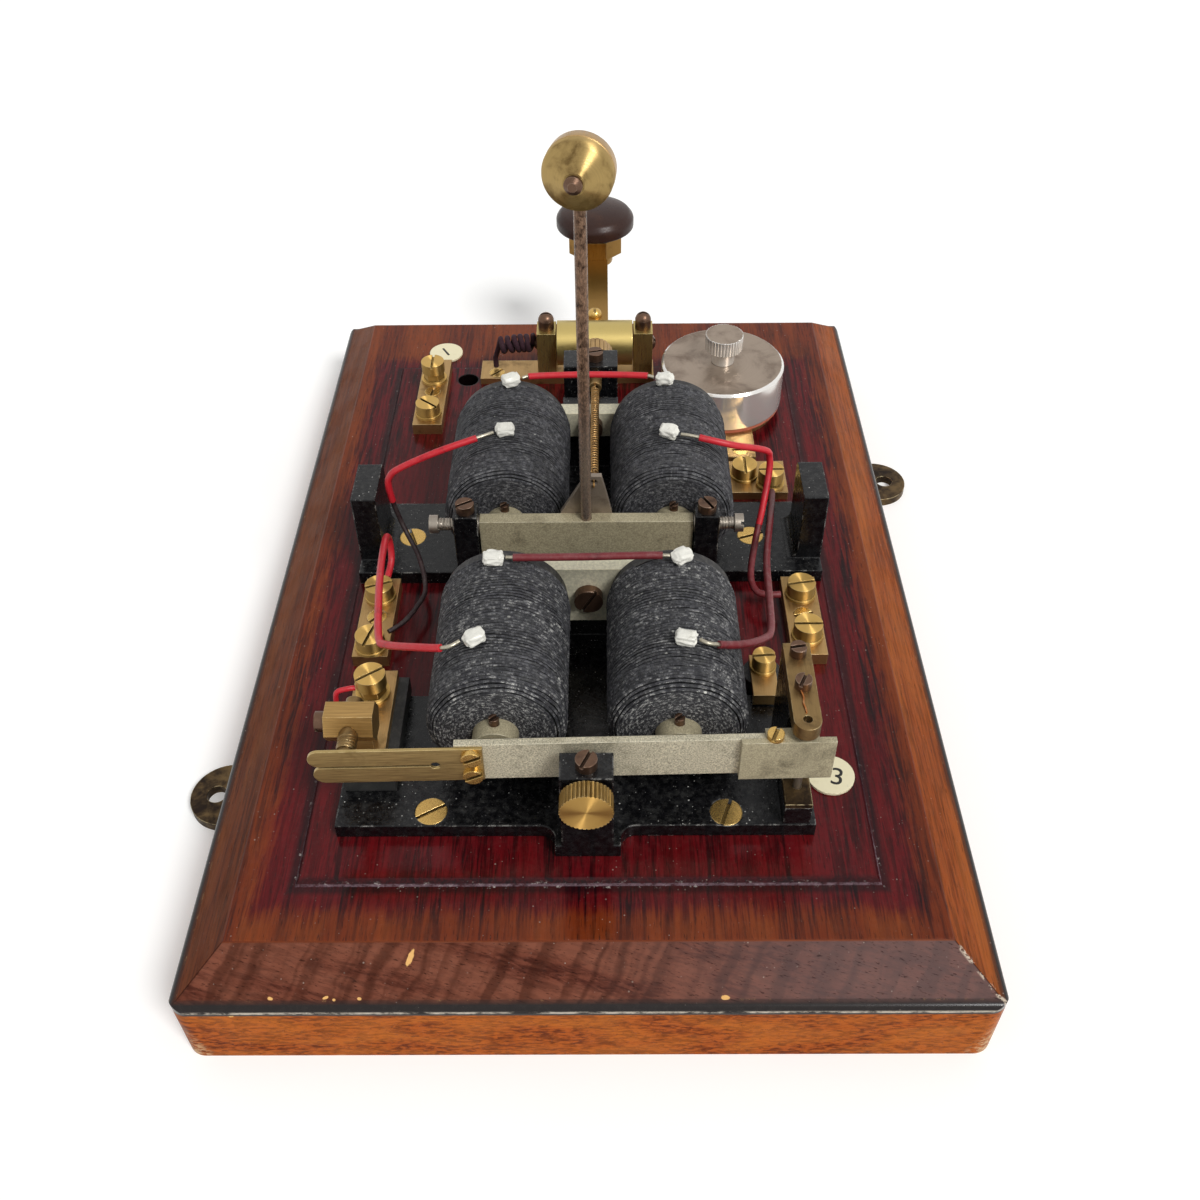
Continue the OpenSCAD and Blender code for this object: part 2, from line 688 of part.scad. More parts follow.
RELAY_RIGHT = [[28, -84, 79.4], [31, -85, 78.8], [39, -80.6, 74], [45.6, -73.4, 68.6], [48.4, -67, 65.4],
  [50, -51, 61], [52, -28, 55], [56, -3, 49], [58.4, 12, 45], [59.4, 19.4, 42]];
BELL_BRIDGE = [[-21, 28.6, 80.6], [-17, 29.4, 80.8], [0, 30, 80.8], [16, 29.4, 80.8], [20, 28.6, 80.6]];
RELAY_BRIDGE = [[-21.6, -54.2, 80], [-16, -54.4, 80.2], [0, -54, 80], [16, -53.8, 80.2], [21.8, -53.8, 80]];
CONTACT_LEAD = [[-62.8, -74, 51], [-65, -74.6, 51.2], [-67.4, -75, 50.6], [-68.2, -75.2, 48.6], [-68.4, -75.4, 44],
  [-68.4, -75.4, 36]];

// Places of the lead beads, and the height each stands on
BEADS = [[-24.9, 2.2, bell_top], [23.7, 0.8, bell_top], [-24.6, 28.2, bell_top], [23.4, 28.2, bell_top],
  [-27.8, -83, relay_top], [24.6, -83.4, relay_top], [-24.9, -54, relay_top], [25, -53.6, relay_top]];

// A box between two corners
module block(low, high) {
  translate(low) cube(high - low);
}

// Round bars along each axis
module bar_x(x0, x1, y, z, d) {
  translate([x0, y, z]) rotate([0, 90, 0]) cylinder(d = d, h = x1 - x0);
}
module bar_y(y0, y1, x, z, d) {
  translate([x, y0, z]) rotate([-90, 0, 0]) cylinder(d = d, h = y1 - y0);
}
module bar_z(z0, z1, x, y, d) {
  translate([x, y, z0]) cylinder(d = d, h = z1 - z0);
}

// A screwdriver slot cut down into a flat head at the height z
module slot(width, z, turn) {
  rotate(turn) translate([-width, -slot_w / 2, z - slot_depth]) cube([2 * width, slot_w, 2 * slot_depth]);
}

// A cheese-head screw that seats on z = 0
module cheese_screw(head, height, shank, length, turn) {
  difference() {
    cylinder(d = head, h = height);
    slot(head, height, turn);
  }
  translate([0, 0, -length]) cylinder(d = shank, h = length + merge);
}

// A round-head screw that seats on z = 0
module round_screw(head, height, shank, length, turn) {
  dome_r = (head * head / 4 + height * height) / (2 * height);
  difference() {
    intersection() {
      translate([0, 0, height - dome_r]) sphere(r = dome_r);
      cylinder(d = 2 * head, h = height);
    }
    slot(head, height, turn);
  }
  translate([0, 0, -length]) cylinder(d = shank, h = length + merge);
}

// A countersunk screw with its flat at z = 0, or the hole for one with room round it
module countersunk_shape(head, room) {
  cone_h = (head - wood_shank_d) / 2;
  translate([0, 0, -cone_h - room]) cylinder(d1 = wood_shank_d + 2 * room, d2 = head + 2 * room, h = cone_h + room);
  translate([0, 0, -wood_shank_l - room]) cylinder(d = wood_shank_d + 2 * room, h = wood_shank_l);
  if (room > 0) cylinder(d = head + 2 * room, h = merge);
}
module countersunk_holes() {
  for (s = COUNTERSUNK) translate([s[0], s[1], s[2]]) rotate([s[4] > 0 ? 0 : 180, 0, 0]) countersunk_shape(s[3], fit);
}
module terminal_holes() {
  for (t = TERMINALS) bar_z(t[2] - t[3] - fit, t[2] + merge, t[0], t[1], lock_shank_d + 2 * fit);
}

// Points along a smooth curve through chosen points
function curve_point(p, i, t) =
  let (a = p[max(i - 1, 0)], b = p[i], c = p[i + 1], d = p[min(i + 2, len(p) - 1)])
  b + 0.5 * t * ((c - a) + t * ((2 * a - 5 * b + 4 * c - d) + t * (3 * (b - c) + d - a)));
function smooth(p) = concat(
  [for (i = [0 : len(p) - 2], k = [0 : lead_steps - 1]) curve_point(p, i, k / lead_steps)],
  [p[len(p) - 1]]);

// Cross-sections carried along a path without twist, and the tube round them
function unit(v) = v / norm(v);
function along(p, i) = unit(p[min(i + 1, len(p) - 1)] - p[max(i - 1, 0)]);
function flat(v, t) = unit(v - t * (v * t));
function side_of(t) = abs(t[2]) < 0.8 ? flat([0, 0, 1], t) : flat([1, 0, 0], t);
function sides_along(p) = [for (i = 0, s = side_of(along(p, 0)); i < len(p);
  i = i + 1, s = i < len(p) ? flat(s, along(p, i)) : s) s];
module tube(path, d, sides) {
  frame = sides_along(path);
  last = len(path) - 1;
  points = [for (i = [0 : last], k = [0 : sides - 1])
    let (t = along(path, i), u = frame[i], v = cross(t, u), a = 360 * (k + 0.5) / sides)
    path[i] + d / 2 * (cos(a) * u + sin(a) * v)];
  walls = [for (i = [0 : last - 1], k = [0 : sides - 1])
    let (n = (k + 1) % sides, a = i * sides + k, b = i * sides + n, c = a + sides, e = b + sides)
    each [[a, c, b], [b, c, e]]];
  caps = [for (k = [1 : sides - 2])
    each [[0, k, k + 1], [last * sides, last * sides + k + 1, last * sides + k]]];
  polyhedron(points, concat(walls, caps));
}

// A helix about a coil's axis, a helix between two points, and a helix's least gap to itself
function turn_path(r, y0, y1, count) = let (n = count * turn_rings, pitch = (y1 - y0) / count)
  concat([[turn_d, y0, r]], [for (i = [0 : n])
    let (a = 360 * i / turn_rings) [-r * sin(a), y0 + pitch * i / turn_rings, r * cos(a)]],
    [[-turn_d, y1, r]]);
function curl_path(a, b, d, tail, curls) =
  let (t = unit(b - a), u = side_of(t), v = cross(t, u), n = curls * coil_rings,
    from = a + t * tail, run_l = norm(b - a) - 2 * tail)
  concat([a, a + t * tail / 2], [for (i = [0 : n]) let (w = 360 * i / coil_rings, r = d / 2 * min(1, i, n - i))
    from + t * run_l * i / n + r * (cos(w) * u + sin(w) * v)], [b - t * tail / 2, b]);
function self_gap(p, rings, d) = min([for (i = [0 : len(p) - 1 - rings], k = [-1 : 1])
  norm(p[i] - p[min(i + rings + k, len(p) - 1)])]) - d;

// Wound tubes of each coil, of the two springs and of the pigtail
function winding_r(coil_r) = coil_r - turn_d / 2;
function core_r(coil_r) = winding_r(coil_r) * cos(180 / turn_rings) - turn_d / 2 - pass;
RELAY_TURNS = turn_path(winding_r(relay_coil_r), relay_coil_y + turn_d, relay_rear_y - turn_d, turn_count);
BELL_TURNS = turn_path(winding_r(bell_coil_r), bell_coil_y + turn_d, bell_rear_y - turn_d, turn_count);
spring_from = [spring_x, armature_back + gusset_t / 2, eye_z];
spring_to = [spring_x, spring_post_y - adjuster_eye_l / 2, adjuster_z];
RETURN_SPRING = curl_path(spring_from, spring_to, spring_d - spring_wire, spring_tail, spring_curls);
key_spring_y = tapper_y + key_spring_out;
KEY_SPRING = curl_path([tapper_x, key_spring_y, lever_z - lever_t - pass],
  [tapper_x, key_spring_y, field_z + pass / 2],
  key_spring_d - key_spring_wire, key_spring_wire, key_spring_curls);
PIGTAIL = curl_path([pigtail_x, tapper_y, tapper_z], [pigtail_x - pigtail_l - 2 * pigtail_wire, tapper_y, tapper_z],
  pigtail_d - pigtail_wire, pigtail_wire, pigtail_curls);
pigtail_end = PIGTAIL[len(PIGTAIL) - 1];
echo(relay_turn_gap = self_gap(RELAY_TURNS, turn_rings, turn_d));
echo(bell_turn_gap = self_gap(BELL_TURNS, turn_rings, turn_d));
echo(return_spring_gap = self_gap(RETURN_SPRING, coil_rings, spring_wire));
echo(key_spring_gap = self_gap(KEY_SPRING, coil_rings, key_spring_wire));
echo(pigtail_gap = self_gap(PIGTAIL, coil_rings, pigtail_wire));

// The board's moulded edge, drawn across a width
module edge_profile(width) {
  half = width / 2;
  shoulder = half - bead_r;
  top = shoulder - bevel_run;
  polygon([[-half, 0], [half, 0], [half, edge_h], [shoulder, edge_h], [shoulder, bead_top], [top, field_z],
    [-top, field_z], [-shoulder, bead_top], [-shoulder, edge_h], [-half, edge_h]]);
  for (side = [-1, 1]) translate([side * shoulder, edge_h]) circle(r = bead_r);
}
module panel_profile(low, high) {
  polygon([[low, field_z - merge], [high, field_z - merge], [high, field_z], [high - panel_step, deck_z],
    [low + panel_step, deck_z], [low, field_z]]);
}
module across(length) {
  rotate([90, 0, 0]) linear_extrude(length, center = true) children();
}
module lengthwise(length) {
  rotate([90, 0, 90]) linear_extrude(length, center = true) children();
}
module round_corners() {
  linear_extrude(field_z) {
    square([base_w - 2 * corner_r, base_d], center = true);
    square([base_w, base_d - 2 * corner_r], center = true);
    for (x = [-1, 1], y = [-1, 1])
      translate([x * (base_w / 2 - corner_r), y * (base_d / 2 - corner_r)]) circle(r = corner_r);
  }
}

// Plan of a hanging lug, with its round end, pointing to +X from the edge of the base
module lug_plan(room) {
  square_l = lug_reach - lug_w / 2;
  translate([-lug_let_in - room, -lug_w / 2 - room]) square([lug_let_in + square_l + room, lug_w + 2 * room]);
  translate([square_l, 0]) circle(d = lug_w);
}
module lug_places() {
  translate([base_w / 2, lug_y, 0]) children();
  translate([-base_w / 2, -lug_y, 0]) rotate(180) children();
}

module base_board() {
  color("sienna") difference() {
    union() {
      intersection() {
        across(base_d) edge_profile(base_w);
        lengthwise(base_w) edge_profile(base_d);
        round_corners();
      }
      intersection() {
        across(base_d) panel_profile(panel_side - base_w / 2, base_w / 2 - panel_side);
        lengthwise(base_w) panel_profile(panel_front - base_d / 2, panel_rear_y);
      }
    }
    lug_places() translate([0, 0, -merge]) linear_extrude(lug_t + merge) lug_plan(fit);
    bar_z(-merge, deck_z + merge, line_strip_x + terminal_inset + bead_h, line_strip_rear - wire_hole_d, wire_hole_d);
    bar_z(deck_z - wire_hole_d / 2, deck_z + merge, CONTACT_LEAD[5][0], CONTACT_LEAD[5][1], 2 * thin_lead_d);
    bar_z(deck_z - deep, deck_z + merge, drum_x, drum_y, stud_d + 2 * fit);
    bar_z(field_z - deep, field_z + merge, tapper_x, tapper_y + key_contact_out, lock_shank_d + 2 * fit);
    countersunk_holes();
    terminal_holes();
  }
}

module hanging_lugs() {
  color("goldenrod") difference() {
    lug_places() difference() {
      linear_extrude(lug_t) lug_plan(0);
      bar_z(-merge, lug_t + merge, lug_hole_out, 0, lug_hole_d);
    }
    countersunk_holes();
  }
}

module countersunk_screws() {
  color("goldenrod") for (s = COUNTERSUNK)
    translate([s[0], s[1], s[2]]) rotate([s[4] > 0 ? 0 : 180, 0, 0]) difference() {
      countersunk_shape(s[3], 0);
      slot(s[3], 0, s[5]);
    }
}

// Plan of the bed: front plate, tongue, spine and cross arms
module bed_plan() {
  arm_out = ear_in + ear_t;
  translate([-bed_left, -bed_front]) square([bed_left + bed_right, bed_plate_d]);
  translate([-tongue_w / 2, stop_post_y]) square([tongue_w, tongue_l + merge]);
  for (side = [0, 1]) mirror([side, 0]) difference() {
    translate([tongue_w / 2 - merge, -bed_front - tongue_round]) square(tongue_round + merge);
    translate([tongue_w / 2 + tongue_round, -bed_front - tongue_round]) circle(r = tongue_round);
  }
  translate([-spine_w / 2, -bed_front + merge]) square([spine_w, bed_front + bed_rear_y - merge]);
  translate([-arm_out, -arm_front]) square([2 * arm_out, arm_front + arm_rear]);
}
module ear(side) {
  low = deck_z + merge;
  high = deck_z + ear_h;
  rear = ear_d / 2;
  translate([side * (ear_in + ear_t / 2), 0, 0]) lengthwise(ear_t)
    polygon([[-rear, low], [rear, low], [rear, high - ear_chamfer], [rear - ear_chamfer, high], [-rear, high]]);
  mirror([side < 0 ? 1 : 0, 0, 0]) difference() {
    block([ear_in - ear_fillet, -rear, bed_z - merge], [ear_in + merge, rear, bed_z + ear_fillet]);
    bar_y(-rear - merge, rear + merge, ear_in - ear_fillet, bed_z + ear_fillet, 2 * ear_fillet - merge);
  }
}
module upright(y) {
  block([-upright_w / 2, y, deck_z + merge], [upright_w / 2, y + upright_d, axis_z + upright_rise]);
}
module bed_posts() {
  trunnion_out_x = trunnion_in + trunnion_post_w;
  block([-stop_post_w / 2, stop_post_y, deck_z + merge],
    [stop_post_w / 2, stop_post_y + stop_post_d, stop_z + post_cap]);
  for (side = [0, 1]) mirror([side, 0, 0]) translate([side ? -hammer_x : hammer_x, 0, 0])
    block([trunnion_in, trunnion_y - trunnion_post_d / 2, deck_z + merge],
      [trunnion_out_x, trunnion_y + trunnion_post_d / 2, trunnion_z + post_cap]);
  block([-spring_post_w / 2, spring_post_y, deck_z + merge],
    [spring_post_w / 2, bed_rear_y, adjuster_z + post_cap]);
  for (side = [-1, 1]) ear(side);
  for (y = [relay_yoke_y, bell_yoke_y]) upright(y + yoke_t);
  block([relay_pivot_x - strap_w / 2, foot_y, deck_z + merge],
    [relay_pivot_x + strap_w / 2, foot_y + bearing_foot_d, foot_z]);
  block([relay_pivot_x - strap_w / 2, strap_rear_y - strap_post_d, deck_z + merge],
    [relay_pivot_x + strap_w / 2, strap_rear_y, strap_z]);
}
module bed_feet() {
  for (side = [0, 1]) mirror([side, 0, 0]) translate([side ? -hammer_x : hammer_x, 0, 0])
    block([spine_w / 2 - trunnion_post_w, trunnion_y - trunnion_post_d, deck_z],
      [trunnion_in + trunnion_post_w, trunnion_y + trunnion_post_d, bed_z]);
}

module bed_casting() {
  color([0.08, 0.08, 0.09]) difference() {
    union() {
      translate([0, 0, deck_z]) linear_extrude(bed_t) bed_plan();
      bed_feet();
      bed_posts();
    }
    bar_y(stop_post_y - merge, stop_post_y + stop_post_d + merge, 0, stop_z, stop_d + 2 * run);
    bar_x(hammer_x - base_w / 3, hammer_x + base_w / 3, trunnion_y, trunnion_z, trunnion_d + 2 * fit);
    bar_y(spring_post_y - merge, bed_rear_y + merge, spring_x, adjuster_z, adjuster_d + 2 * fit);
    for (y = [relay_yoke_y, bell_yoke_y])
      bar_y(y, y + yoke_t + upright_d + merge, 0, axis_z, lock_shank_d + 2 * fit);
    lock_holes();
    countersunk_holes();
  }
}

// The magnets: children are placed at each coil's front end
module coil_places() {
  for (side = [-1, 1]) {
    translate([side * relay_coil_x, relay_coil_y, axis_z]) rotate([-90, 0, 0]) children(0);
    translate([side * bell_coil_x, bell_coil_y, axis_z]) rotate([-90, 0, 0]) children(1);
  }
}
module yoke(x, y, height) {
  half = x + core_d / 2 + yoke_end;
  difference() {
    block([-half, y, axis_z - height / 2], [half, y + yoke_t, axis_z + height / 2]);
    for (side = [-1, 1]) bar_y(y - merge, y + yoke_t + merge, side * x, axis_z, core_d / 2 + 2 * fit);
    bar_y(y - merge, y + yoke_t + merge, 0, axis_z, lock_shank_d + 2 * fit);
  }
}
module magnet_yokes() {
  color("lightgray") {
    yoke(relay_coil_x, relay_yoke_y, relay_yoke_h);
    yoke(bell_coil_x, bell_yoke_y, bell_yoke_h);
  }
}
module yoke_screws() {
  color("saddlebrown") for (y = [relay_yoke_y, bell_yoke_y]) translate([0, y, axis_z]) rotate([90, 0, 0])
    cheese_screw(yoke_screw_d, lock_head_h, lock_shank_d, yoke_t + upright_d - merge, 60);
}
module core(length, shoe) {
  translate([0, 0, -shoe]) cylinder(d = core_d, h = shoe + length + cheek_t);
  cylinder(d = core_d / 2, h = length + cheek_t + yoke_t);
}
module magnet_cores() {
  color("silver") coil_places() {
    core(relay_coil_l, relay_shoe_l);
    core(bell_coil_l, bell_shoe_l);
  }
}
module pole_shoe(length) {
  translate([0, 0, -length]) difference() {
    cylinder(d = shoe_d, h = length);
    translate([0, 0, -merge]) cylinder(d = core_d + 2 * fit, h = length + 2 * merge);
    translate([0, 0, length - shoe_screw_out]) rotate([90, 0, 0]) translate([0, 0, shoe_d / 2 - shoe_screw_in - fit])
      cylinder(d = shoe_screw_d + 2 * fit, h = shoe_d);
  }
}
module pole_shoes() {
  color("lightgray") coil_places() {
    pole_shoe(relay_shoe_l);
    pole_shoe(bell_shoe_l);
  }
}
module shoe_screw() {
  translate([0, 0, -shoe_screw_out]) rotate([90, 0, 0]) translate([0, 0, shoe_d / 2 - shoe_screw_in]) difference() {
    cylinder(d = shoe_screw_d, h = shoe_screw_in + shoe_screw_h);
    slot(shoe_screw_d, shoe_screw_in + shoe_screw_h, 40);
  }
}
module shoe_screws() {
  color("peru") coil_places() {
    shoe_screw();
    shoe_screw();
  }
}
module ring(outer, inner, length) {
  difference() {
    cylinder(d = outer, h = length);
    translate([0, 0, -merge]) cylinder(d = inner, h = length + 2 * merge);
  }
}
bobbin_in = core_d + 2 * fit;
bobbin_out = bobbin_in + 2 * bobbin_t;
module bobbin(length, coil_r) {
  ring(bobbin_out, bobbin_in, length + merge);
  translate([0, 0, length]) ring(2 * coil_r - turn_d, bobbin_in, cheek_t);
}
module coil_bobbins() {
  color([0.1, 0.1, 0.1]) coil_places() {
    bobbin(relay_coil_l, relay_coil_r);
    bobbin(bell_coil_l, bell_coil_r);
  }
}
module coil_windings() {
  color([0.15, 0.15, 0.16]) coil_places() {
    ring(2 * core_r(relay_coil_r), bobbin_out + 2 * fit, relay_coil_l);
    ring(2 * core_r(bell_coil_r), bobbin_out + 2 * fit, bell_coil_l);
  }
}
module winding_turns() {
  color([0.2, 0.2, 0.21]) for (side = [-1, 1]) {
    translate([side * relay_coil_x, 0, axis_z]) tube(RELAY_TURNS, turn_d, turn_sides);
    translate([side * bell_coil_x, 0, axis_z]) tube(BELL_TURNS, turn_d, turn_sides);
  }
}
module lead_beads() {
  color("white") for (b = BEADS) block(b - [bead_w / 2, bead_d / 2, -pass / 4], b + [bead_w / 2, bead_d / 2, bead_h]);
}
module bridge_leads() {
  color("crimson") {
    tube(smooth(BELL_BRIDGE), lead_d, lead_sides);
    tube(smooth(RELAY_BRIDGE), lead_d, lead_sides);
  }
}
module coil_leads() {
  color("crimson") for (route = [BELL_LEFT, RELAY_LEFT, BELL_RIGHT, RELAY_RIGHT])
    tube(smooth(route), lead_d, lead_sides);
}
module contact_lead() {
  color("red") tube(smooth(CONTACT_LEAD), thin_lead_d, lead_sides);
}

// Hammer
module trunnion_screw() {
  tail_z = trunnion_post_w + pass;
  translate([0, 0, pass / 2]) cylinder(d = trunnion_d, h = tail_z);
  translate([0, 0, tail_z]) difference() {
    union() {
      cylinder(d = 0.64 * trunnion_d, h = trunnion_tail);
      translate([0, 0, 0.64 * trunnion_tail]) cylinder(d = trunnion_d, h = 0.36 * trunnion_tail);
    }
    slot(trunnion_d, trunnion_tail, 55);
  }
  translate([0, 0, -pivot_in]) cylinder(d = pivot_d, h = pivot_in + pass);
}
module trunnion_screws() {
  color("peru") for (side = [-1, 1])
    translate([hammer_x + side * armature_l / 2, trunnion_y, trunnion_z]) rotate([0, side * 90, 0]) trunnion_screw();
}

// Steel lock screws down onto the bores of the posts, and the holes for them
lock_l = post_cap - trunnion_d / 2 - fit;
POST_LOCKS = [
  [0, stop_post_y + stop_post_d / 2, stop_z + post_cap, post_cap - stop_d / 2 - 2 * run, 65],
  [hammer_x - trunnion_in - trunnion_post_w / 2, trunnion_y, trunnion_z + post_cap, lock_l, 30],
  [hammer_x + trunnion_in + trunnion_post_w / 2, trunnion_y, trunnion_z + post_cap, lock_l, 120],
  [spring_x, spring_post_y + spring_post_d / 2, adjuster_z + post_cap, post_cap - adjuster_d / 2 - fit, 15],
  [relay_pivot_x, strap_rear_y - strap_screw_d * 0.9, strap_z + strap_t, strap_t + short_shank_l, 10],
  [relay_pivot_x, strap_rear_y - strap_screw_d * 3.5, strap_z + strap_t, strap_t + short_shank_l, 65]];
module lock_holes() {
  for (s = POST_LOCKS) bar_z(s[2] - s[3] - fit, s[2] + merge, s[0], s[1], lock_shank_d + 2 * fit);
}
module lock_screws() {
  color("saddlebrown") {
    for (s = POST_LOCKS) translate([s[0], s[1], s[2]])
      cheese_screw(s[0] == relay_pivot_x ? strap_screw_d : lock_head_d, lock_head_h, lock_shank_d, s[3], s[4]);
    for (side = [-1, 1]) translate([tapper_x + side * (pillar_in + pillar_w / 2), tapper_y, pillar_top])
    {
      cylinder(d = pillar_screw_d, h = pillar_screw_h / 2 + merge);
      translate([0, 0, pillar_screw_h / 2]) round_screw(pillar_screw_d, pillar_screw_d / 2 - merge,
        lock_shank_d, pillar_screw_h / 2 + pillar_rise - tapper_pin_d / 2 - fit, 0);
    }
    translate([contact_x - contact_w / 2, contact_y, contact_z]) rotate([0, -90, 0])
      cheese_screw(lock_head_d, lock_head_h, lock_shank_d, contact_w / 2 - contact_d / 2 - fit, 80);
  }
}
module return_spring() {
  color("peru") tube(RETURN_SPRING, spring_wire, coil_sides);
}
module spring_adjuster() {
  eye_d = adjuster_d - merge;
  color("goldenrod") difference() {
    union() {
      bar_y(spring_post_y, bed_rear_y + pass + adjuster_nut_l, spring_x, adjuster_z, adjuster_d);
      bar_y(spring_post_y - adjuster_eye_l, spring_post_y + merge, spring_x, adjuster_z, eye_d);
    }
    bar_y(spring_post_y - adjuster_eye_l - merge, spring_post_y - pass, spring_x, adjuster_z, spring_wire * 3);
  }
}
module knurled(d, length, count) {
  depth = d / 40;
  difference() {
    cylinder(d = d, h = length);
    for (i = [0 : count - 1]) rotate(360 * i / count) translate([d / 2, 0, -merge])
      rotate(45) cube([depth * 1.4, depth * 1.4, 2 * (length + 2 * merge)], center = true);
  }
}
module adjuster_nut() {
  color("goldenrod") translate([spring_x, bed_rear_y + pass / 4, adjuster_z]) rotate([-90, 0, 0]) difference() {
    knurled(adjuster_nut_d, adjuster_nut_l, 24);
    translate([0, 0, -merge]) cylinder(d = adjuster_d + 2 * run, h = adjuster_nut_l + 2 * merge);
  }
}
module bell_armature() {
  low = trunnion_z - armature_down;
  color("silver") difference() {
    block([hammer_x - armature_l / 2, trunnion_y - armature_t / 2, low],
      [hammer_x + armature_l / 2, armature_back, armature_top]);
    for (side = [-1, 1]) translate([hammer_x + side * armature_l / 2, trunnion_y, trunnion_z])
      rotate([0, -side * 90, 0]) translate([0, 0, -merge])
        cylinder(d = pivot_d + 2 * run, h = pivot_in + pass + merge);
    bar_z(armature_top - rod_in - fit, armature_top + merge, hammer_x, trunnion_y, rod_d + 2 * fit);
  }
}
module hammer_gusset() {
  apex = armature_top + gusset_h;
  left = hammer_x - gusset_w / 2;
  right = hammer_x + gusset_w / 2;
  color("peru") difference() {
    translate([0, armature_back + gusset_t / 2, 0]) across(gusset_t)
      polygon([[left, armature_top - gusset_lap], [right, armature_top - gusset_lap], [right, armature_top],
        [spring_x + gusset_eye_d, apex], [spring_x - gusset_eye_d, apex], [left, armature_top]]);
    bar_y(armature_back - merge, armature_back + gusset_t + merge, spring_x, eye_z, gusset_eye_d);
  }
}
module hammer_rod() {
  color("sienna") bar_z(armature_top - rod_in, armature_top + rod_l + rod_in, hammer_x, trunnion_y, rod_d);
}
module head_turned() {
  translate([hammer_x, trunnion_y, head_z]) rotate([0, 0, -head_turn]) children();
}
module hammer_head() {
  nose = striker_d / 2 + 2 * merge;
  back_r = (head_d * head_d / 4 + head_back * head_back) / (2 * head_back);
  color("goldenrod") head_turned() difference() {
    rotate([90, 0, 0]) union() {
      translate([0, 0, head_band / 2]) cylinder(d1 = head_d, d2 = 2 * nose, h = head_front - head_band / 2);
      translate([0, 0, -head_band / 2]) cylinder(d = head_d, h = head_band);
      translate([0, 0, -head_band / 2]) intersection() {
        translate([0, 0, back_r - head_back]) sphere(r = back_r);
        translate([0, 0, -head_back]) cylinder(d = head_d, h = head_back + merge);
      }
    }
    rotate([90, 0, 0]) translate([0, 0, head_front - striker_in - fit])
      cylinder(d = striker_d + 2 * fit, h = head_front);
    translate([0, 0, -head_d]) cylinder(d = rod_d + 2 * fit, h = head_d / 2 + rod_in + fit);
  }
}
module striking_pin() {
  color("lightgray") head_turned() translate([0, striker_in - head_front, 0]) rotate([90, 0, 0]) {
    cylinder(d = striker_d, h = striker_in + striker_l / 2);
    translate([0, 0, striker_in + striker_l / 2]) cylinder(d1 = striker_d, d2 = striker_d / 2, h = striker_l / 2);
  }
}

// Relay armature on its upright pin, standing open
module relay_turned() {
  translate([relay_pivot_x, relay_pivot_y, 0]) rotate(relay_open)
    translate([-relay_pivot_x, -relay_pivot_y, 0]) children();
}
module relay_armature() {
  low = axis_z - strip_armature_h / 2;
  color("silver") relay_turned() difference() {
    block([-strip_armature_left, strip_front, low], [hinge_left + strip_in, strip_back, low + strip_armature_h]);
    blade_screw_places() cylinder(d = relay_shank_d + 2 * fit, h = base_d, center = true);
  }
}
module blade_screw_places() {
  for (side = [-1, 1])
    translate([blade_lap * 0.6 - strip_armature_left, strip_front - blade_t, axis_z + side * blade_h * 0.28])
      rotate([90, 0, 0]) children();
}
hinge_screw_x = relay_pivot_x - relay_pin_d - strap_screw_d * 1.2;
hinge_screw_y = strip_front + merge;
module hinge_block() {
  low = axis_z - hinge_h / 2;
  high = low + hinge_h;
  boss_left = hinge_left + strip_in + fit;
  color("silver") relay_turned() difference() {
    union() {
      block([hinge_left, strip_front - hinge_t, low], [hinge_right, strip_front, high]);
      block([boss_left, strip_front - merge, low], [relay_pivot_x + strap_w / 2, relay_pivot_y + hinge_boss, high]);
    }
    bar_z(low - merge, high + merge, relay_pivot_x, relay_pivot_y, relay_pin_d + 2 * fit);
    bar_z(axis_z - fit, high + merge, hinge_screw_x, hinge_screw_y, relay_shank_d + 2 * fit);
  }
}
module contact_blade() {
  low = axis_z - blade_h / 2;
  high = low + blade_h;
  right = blade_left + blade_l;
  hole_x = right - 1.7 * blade_lap;
  tip_r = blade_h / 4;
  front = strip_front - blade_t - merge;
  color("goldenrod") relay_turned() difference() {
    union() {
      block([blade_left + tip_r, strip_front - blade_t, low], [right, strip_front, high]);
      for (side = [0, 1])
        bar_y(strip_front - blade_t, strip_front, blade_left + tip_r + side * blade_step, high - tip_r - side * blade_h / 2,
          2 * tip_r);
    }
    block([blade_left - merge, front, axis_z - blade_slit / 2],
      [hole_x, strip_front + merge, axis_z + blade_slit / 2]);
    bar_y(front, strip_front + merge, hole_x, axis_z, blade_hole_d);
    blade_screw_places() cylinder(d = relay_shank_d + 2 * fit, h = base_d, center = true);
  }
}
module relay_screws() {
  color("goldenrod") relay_turned() {
    blade_screw_places() cheese_screw(blade_screw_d, relay_screw_h, relay_shank_d, blade_t + strip_armature_t, 25);
    translate([hinge_screw_x, hinge_screw_y, axis_z + hinge_h / 2])
      cheese_screw(strap_screw_d, relay_screw_h, relay_shank_d, hinge_h / 2, 65);
  }
}
module relay_pin() {
  color("lightgray") bar_z(foot_z + pass / 2, strap_z + strap_t / 2, relay_pivot_x, relay_pivot_y, relay_pin_d);
}
module bearing_strap() {
  color("darkgoldenrod") difference() {
    translate([0, 0, strap_z]) linear_extrude(strap_t) {
      translate([relay_pivot_x - strap_w / 2, relay_pivot_y]) square([strap_w, strap_l]);
      translate([relay_pivot_x, relay_pivot_y]) circle(d = strap_w);
    }
    bar_z(strap_z - merge, strap_z + strap_t + merge, relay_pivot_x, relay_pivot_y, relay_pin_d + 2 * run);
    lock_holes();
  }
}
